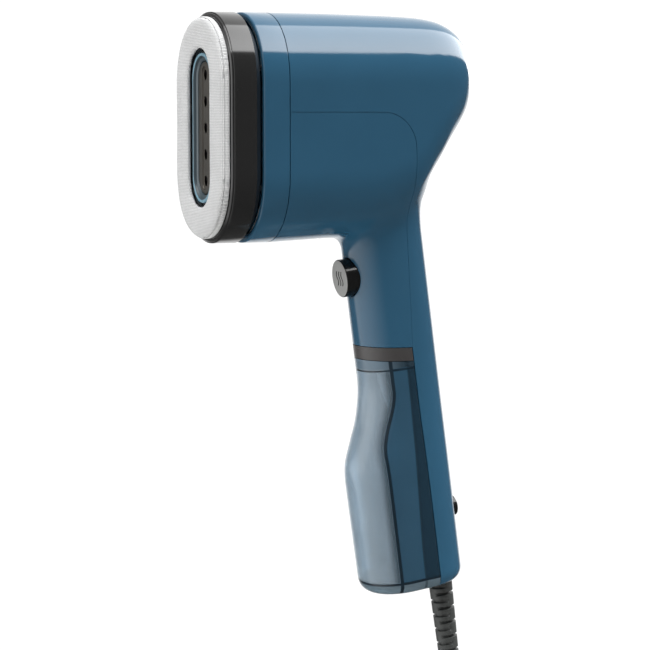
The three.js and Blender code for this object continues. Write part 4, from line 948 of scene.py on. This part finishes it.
cloth_step = pad.modifiers.new("cloth", "CLOTH")
cloth_step.settings.use_pressure = True
cloth_step.settings.uniform_pressure_force = 4.0
cloth_step.settings.effector_weights.gravity = 0
cloth_step.point_cache.frame_start = 1
cloth_step.point_cache.frame_end = SETTLE_FRAMES
for number in range(1, SETTLE_FRAMES + 1):
    bpy.context.scene.frame_set(number)
graph = bpy.context.evaluated_depsgraph_get()
swollen = pad.evaluated_get(graph).data
moved = np.array([v.co[:] for v in swollen.vertices]) - flat
pad.modifiers.clear()
bpy.context.scene.frame_set(1)
size = np.linalg.norm(moved, axis=1)
moved *= np.minimum(1, PUFF / np.maximum(size, 1e-9))[:, None]
moved[:, 1] = np.where(flat[:, 1] > PAD_FLAT * MM, 0, moved[:, 1])
puffed = flat + moved
puffed[:, 1] = np.clip(puffed[:, 1], PAD_FRONT * MM, PAD_BACK * MM)
mesh.vertices.foreach_set("co", puffed.ravel())
mesh.update()
finer = pad.modifiers.new("finer", "SUBSURF")
finer.levels = finer.render_levels = 1
applied(pad)
hem = banded("hem", [
    (0.5, -90.35), (-0.05, -90.35), (-0.2, -90.8), (-0.2, -91.9), (0.1, -92.5), (0.9, -92.3),
    (0.6, -91.7),
], pad_cloth, 96, half=outer_half)
joined(pad, hem)
bpy.data.objects.remove(hem)
pad.data.shade_smooth()
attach(pad, "pad")
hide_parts("pad_cloth")


# ---------- trigger and power button
# Black acetal buttons with a crisp rim and a flange behind it that keeps them in their bores.
# The trigger has a grey elastomer face moulded on, with a sign of three wavy lines.
def turned_piece(name, profile, at, direction, material, sides=96):
    """A turned piece: (radius, height) pairs round an axis in the grip's frame."""
    along = np.array(direction, float)
    side = np.array([1.0, 0, 0])
    other = np.cross(along, side)
    rings = []
    for radius, height in profile:
        rings.append(leaned([
            np.array(at) + along * height + radius * (math.cos(a) * side + math.sin(a) * other)
            for a in np.linspace(0, 2 * math.pi, sides + 1)[:-1]]))
    return mesh_piece(name, *skinned(rings), material, 40)


# Acetal: black and glossy. Thermoplastic elastomer: mid grey and matt, soft to the finger.
gloss_black = moulded("gloss_black_acetal", "131313", 0.16, grain=1.11, depth=0.01, IOR=1.48)
matt_grey = moulded("matt_grey_elastomer", "8f8f8e", 0.6, grain=0.833, depth=0.06, IOR=1.5)
FACE = -22.85
SIGN_HEIGHT, SIGN_WAVE, SIGN_PITCH = 6.6, 0.75, 2.5
trigger = turned_piece("steam_trigger", [
    (0.4, 0.12), (6.5, 0.05), (8.0, 0.0), (8.4, 0.12), (8.63, 0.36), (8.7, 0.7), (8.7, 11.6),
    (10.3, 11.6), (10.3, 13.6), (0.4, 13.6),
], (0, FACE, BUTTON_LEVEL), (0, 1, 0), gloss_black)
trigger.data.materials.append(matt_grey)


def wavy(shift, width=0.42, count=24):
    """One wavy line of the steam sign, as a thin strip to be pressed into the face."""
    left, right = [], []
    for t in np.linspace(0, 1, count):
        z = BUTTON_LEVEL + SIGN_HEIGHT * (t - 0.5)
        x = shift + SIGN_WAVE * math.sin(t * 2 * math.pi)
        left.append((x - width, z))
        right.append((x + width, z))
    outline = left + right[::-1]
    rings = [leaned([(x, y, z) for x, z in outline]) for y in (FACE - 1, FACE + 0.45)]
    return mesh_piece("wave", *skinned(rings), gloss_black)


for shift in (-SIGN_PITCH, 0, SIGN_PITCH):
    cut(trigger, wavy(shift))
settle(trigger, 40)
outward = Vector(leaned([[0, -1, 0]])[0]).normalized()
for face in trigger.data.polygons:
    centre = Vector(face.center) - Vector(leaned([[0, FACE, BUTTON_LEVEL]])[0])
    near = abs(centre.dot(outward)) < 0.3 * MM
    face.material_index = 1 if near and face.normal.dot(outward) > 0.9 else 0
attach(trigger, "trigger")
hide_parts("trigger_button")

power = turned_piece("power_key", [
    (0.2, 0.35), (2.8, 0.3), (3.6, 0.1), (4.2, 0.0), (4.55, 0.2), (4.7, 0.6), (4.7, 6.0),
    (5.7, 6.0), (5.7, 7.4), (0.2, 7.4),
], (0, 20.95, POWER_LEVEL), (0, -1, 0), gloss_black)
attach(power, "power")
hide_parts("power_button")


# ---------- tank and its lid
# Smoke-blue SAN tank with a thick floor, welded from two halves along a curved joint and
# closed by a lid band with a seal under it. It slides down off the grip.
def line_at(tree, distance, outer, inner):
    """A line where a distance is nought, fading between two half widths in millimetres."""
    return ramp(tree, maths(tree, "ABSOLUTE", distance), outer * MM, inner * MM)


def mixed(tree, share, first, second):
    """Two colours or a colour and another one's output, mixed by a share."""
    return put(
        tree, "ShaderNodeMix", {"Factor": share, 6: first, 7: second}, data_type="RGBA").outputs[2]


# Clear SAN, tinted: light and clear in front, denser behind the joint, over the rear ribs, at the foot
# and under the lid, with dark lines where the walls are seen edge on. Painted shade: the front zone
# darkens towards the joint, the strip under the lid darkens towards the rear, and every wall is
# darkened where it turns edge on to the view.
LID_LINE, FOOT_LINE = -17.0, -115.0
tank_san, tree = new_material("smoke_blue_san")
upright = put(tree, "ShaderNodeVectorRotate", {
    "Vector": put(tree, "ShaderNodeTexCoord").outputs["Object"],
    "Axis": (1, 0, 0), "Angle": -TILT,
}, rotation_type="AXIS_ANGLE").outputs[0]
place = put(tree, "ShaderNodeSeparateXYZ", {0: upright})
across, height = place.outputs["Y"], place.outputs["Z"]
bulged = ramp(tree, height, -26 * MM, -56 * MM)
joint_at = maths(tree, "MULTIPLY_ADD", bulged, -8.2 * MM, -9.7 * MM)
past_joint = maths(tree, "SUBTRACT", across, joint_at)
# Painted shade: the clear front zone is darkened towards the joint.
painted_shade_near_joint = ramp(tree, past_joint, -4.5 * MM, -1 * MM, 0.0, 0.75)
rear_half = ramp(tree, past_joint, -0.7 * MM, 0.7 * MM)
rib_at = ramp(tree, height, -16 * MM, -118 * MM, -2.2 * MM, -6.2 * MM)
past_rib = maths(tree, "SUBTRACT", across, rib_at)
rear_strip = ramp(tree, past_rib, -0.4 * MM, 0.4 * MM)
under_lid = ramp(tree, height, (LID_LINE + 0.4) * MM, (LID_LINE + 1) * MM)
foot = ramp(tree, height, FOOT_LINE * MM, (FOOT_LINE - 0.6) * MM)
lines = maths(
    tree, "MAXIMUM",
    line_at(tree, past_joint, 1.0, 0.5),
    maths(tree, "MULTIPLY", line_at(tree, past_rib, 0.9, 0.4), 0.55),
    line_at(tree, maths(tree, "SUBTRACT", height, LID_LINE * MM), 0.7, 0.3),
    line_at(tree, maths(tree, "SUBTRACT", height, FOOT_LINE * MM), 0.9, 0.4))
painted_dark_rim_facing = put(tree, "ShaderNodeLayerWeight", {"Blend": 0.5}).outputs["Facing"]
# Painted shade: the strip under the lid is lighter in front and darker towards the rear.
painted_shade_under_lid = mixed(
    tree, ramp(tree, across, -17 * MM, -2 * MM), linear("6d8292"), linear("2e404c"))
colour = mixed(tree, painted_shade_near_joint, linear("bfd3e2"), linear("4f6d80"))
colour = mixed(tree, rear_half, colour, linear("35586f"))
colour = mixed(tree, rear_strip, colour, linear("1f3848"))
colour = mixed(tree, foot, colour, linear("6b7e8a"))
colour = mixed(tree, under_lid, colour, painted_shade_under_lid)
colour = mixed(tree, lines, colour, linear("14242f"))
# Painted shade: the colour darkens where the surface turns edge on to the view.
colour = mixed(tree, ramp(tree, painted_dark_rim_facing, 0.74, 0.96, 0.0, 0.85), colour, linear("35536a"))
shade = between(tree, spots(tree, 40, 3), 0.9, 1.1)
tint = put(tree, "ShaderNodeVectorMath", {0: colour, 3: shade}, operation="SCALE")
milky = maths(
    tree, "MAXIMUM",
    maths(tree, "MULTIPLY", maths(tree, "MAXIMUM", rear_half, under_lid, foot), 0.5),
    maths(tree, "MULTIPLY", lines, 0.8))
sight = maths(tree, "SUBTRACT", 0.74, maths(tree, "MULTIPLY", milky, 0.8))
bump = put(tree, "ShaderNodeBump", {
    "Strength": 0.01, "Distance": 0.2 * MM, "Height": spots(tree, 3.33, 2)})
clear = put(tree, "ShaderNodeBsdfPrincipled", {
    "Base Color": tint.outputs[0], "Normal": bump.outputs[0], "IOR": 1.45,
    "Transmission Weight": sight, "Roughness": between(tree, spots(tree, 16.7, 3), 0.14, 0.2),
})
put(tree, "ShaderNodeOutputMaterial", {"Surface": clear.outputs[0]})
BAND_LOW = BAND_TOP - 5.9
JOINT_GAP = 0.3
TANK_WALL = 2.0
TANK_FLOOR = -115.6


def tank_form(inset, low, high, count=90):
    """The tank's outline between two levels, flat at the back, smaller by the inset."""
    form = mesh_piece("form", *skinned([leaned(r) for r in grip_rings(inset, count)]), tank_san)
    back = block((-WIDE, -FAR, -FAR), (WIDE, SPLIT - JOINT_GAP - inset, HIGH))
    back.data.transform(Matrix.Rotation(TILT, 4, "X"))
    cut(form, back, "INTERSECT")
    cut(form, block((-WIDE, -FAR, low), (WIDE, FAR, high)), "INTERSECT")
    return form


tank = tank_form(0, -FAR, BAND_LOW - JOINT_GAP, 110)
chamber = tank_form(TANK_WALL, -FAR, 0, 110)
above_floor = block((-WIDE, -FAR, TANK_FLOOR), (WIDE, FAR, HIGH))
above_floor.data.transform(Matrix.Rotation(TILT, 4, "X"))
cut(chamber, above_floor, "INTERSECT")
cut(tank, chamber)
tank.name = "clear_tank"
settle(tank, 30)
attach(tank, "tank")
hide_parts("tank_shell")

# Polypropylene: warm near black with a satin face.
lid_plastic = moulded("lid_polypropylene", "3d3b3b", 0.34, grain=1.11, depth=0.02, IOR=1.49)
lid = tank_form(0, BAND_LOW, BAND_TOP)
cut(lid, tank_form(TANK_WALL + 0.4, BAND_LOW - 3.2, BAND_LOW + 1), "UNION")
cut(lid, rod((FILLER_X, FILLER_Y, -30), (FILLER_X, FILLER_Y, 0), (3.5, 3.5)))
cut(lid, rod((0, OUTLET_Y, -30), (0, OUTLET_Y, 5), (4.3, 4.3)))
lid.name = "lid_band"
lid.data.materials.clear()
lid.data.materials.append(lid_plastic)
settle(lid, 30)
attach(lid, "tank")
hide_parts("tank_lid")

# ---------- inner pieces
# The CAD's own solids inside the shells, such as the steam chamber, the pump, the switches and
# the board, keep their shape. Each takes the finish of what it is made of: cast and plated
# metals, silicone, glass-filled board and moulded plastics.
cast = moulded("cast_aluminium", "a2a5a6", 0.5, grain=2.38, depth=0.25, mottle=0.06, Metallic=1.0)
steel = moulded(
    "zinc_plated_steel", "a3a5a8", 0.3, grain=2, depth=0.05, mottle=0.05, Metallic=1.0)
silicone = moulded("silicone_hose", "cfd4d4", 0.45, grain=1.67, depth=0.05, IOR=1.41)
brass = moulded("brass", "b79a55", 0.28, grain=3.33, depth=0.05, mottle=0.08, Metallic=1.0)
laminate = moulded("board_laminate", "2c5a3a", 0.45, grain=1.43, depth=0.1, mottle=0.12, IOR=1.5)
inner_black = moulded("black_pbt", "242627", 0.4, grain=1.25, depth=0.05, IOR=1.55)
inner_blue = moulded("inner_blue_abs", "1f4157", 0.35, grain=1.11, depth=0.03, IOR=1.54)
FINISHES = {
    "steel": steel, "brass": brass, "rubber": rubber, "hose": silicone, "board": laminate,
    "black_plastic": inner_black, "dark_blue": inner_blue, "cast_metal": cast,
    "light_blue": pale_blue, "sole_metal": sole_metal, "blue_housing": housing,
    "clear_tank": tank_san, "pad_cloth": pad_cloth,
}
for entry in frame["record"]["subparts"]:
    node = frame["nodes"][entry["node"]]
    if not entry["node"].startswith("plug_pin"):
        node.data.materials[0] = FINISHES[entry["material_slot"]]

for spare in (head_form, grip_form, body_form):
    bpy.data.objects.remove(spare)
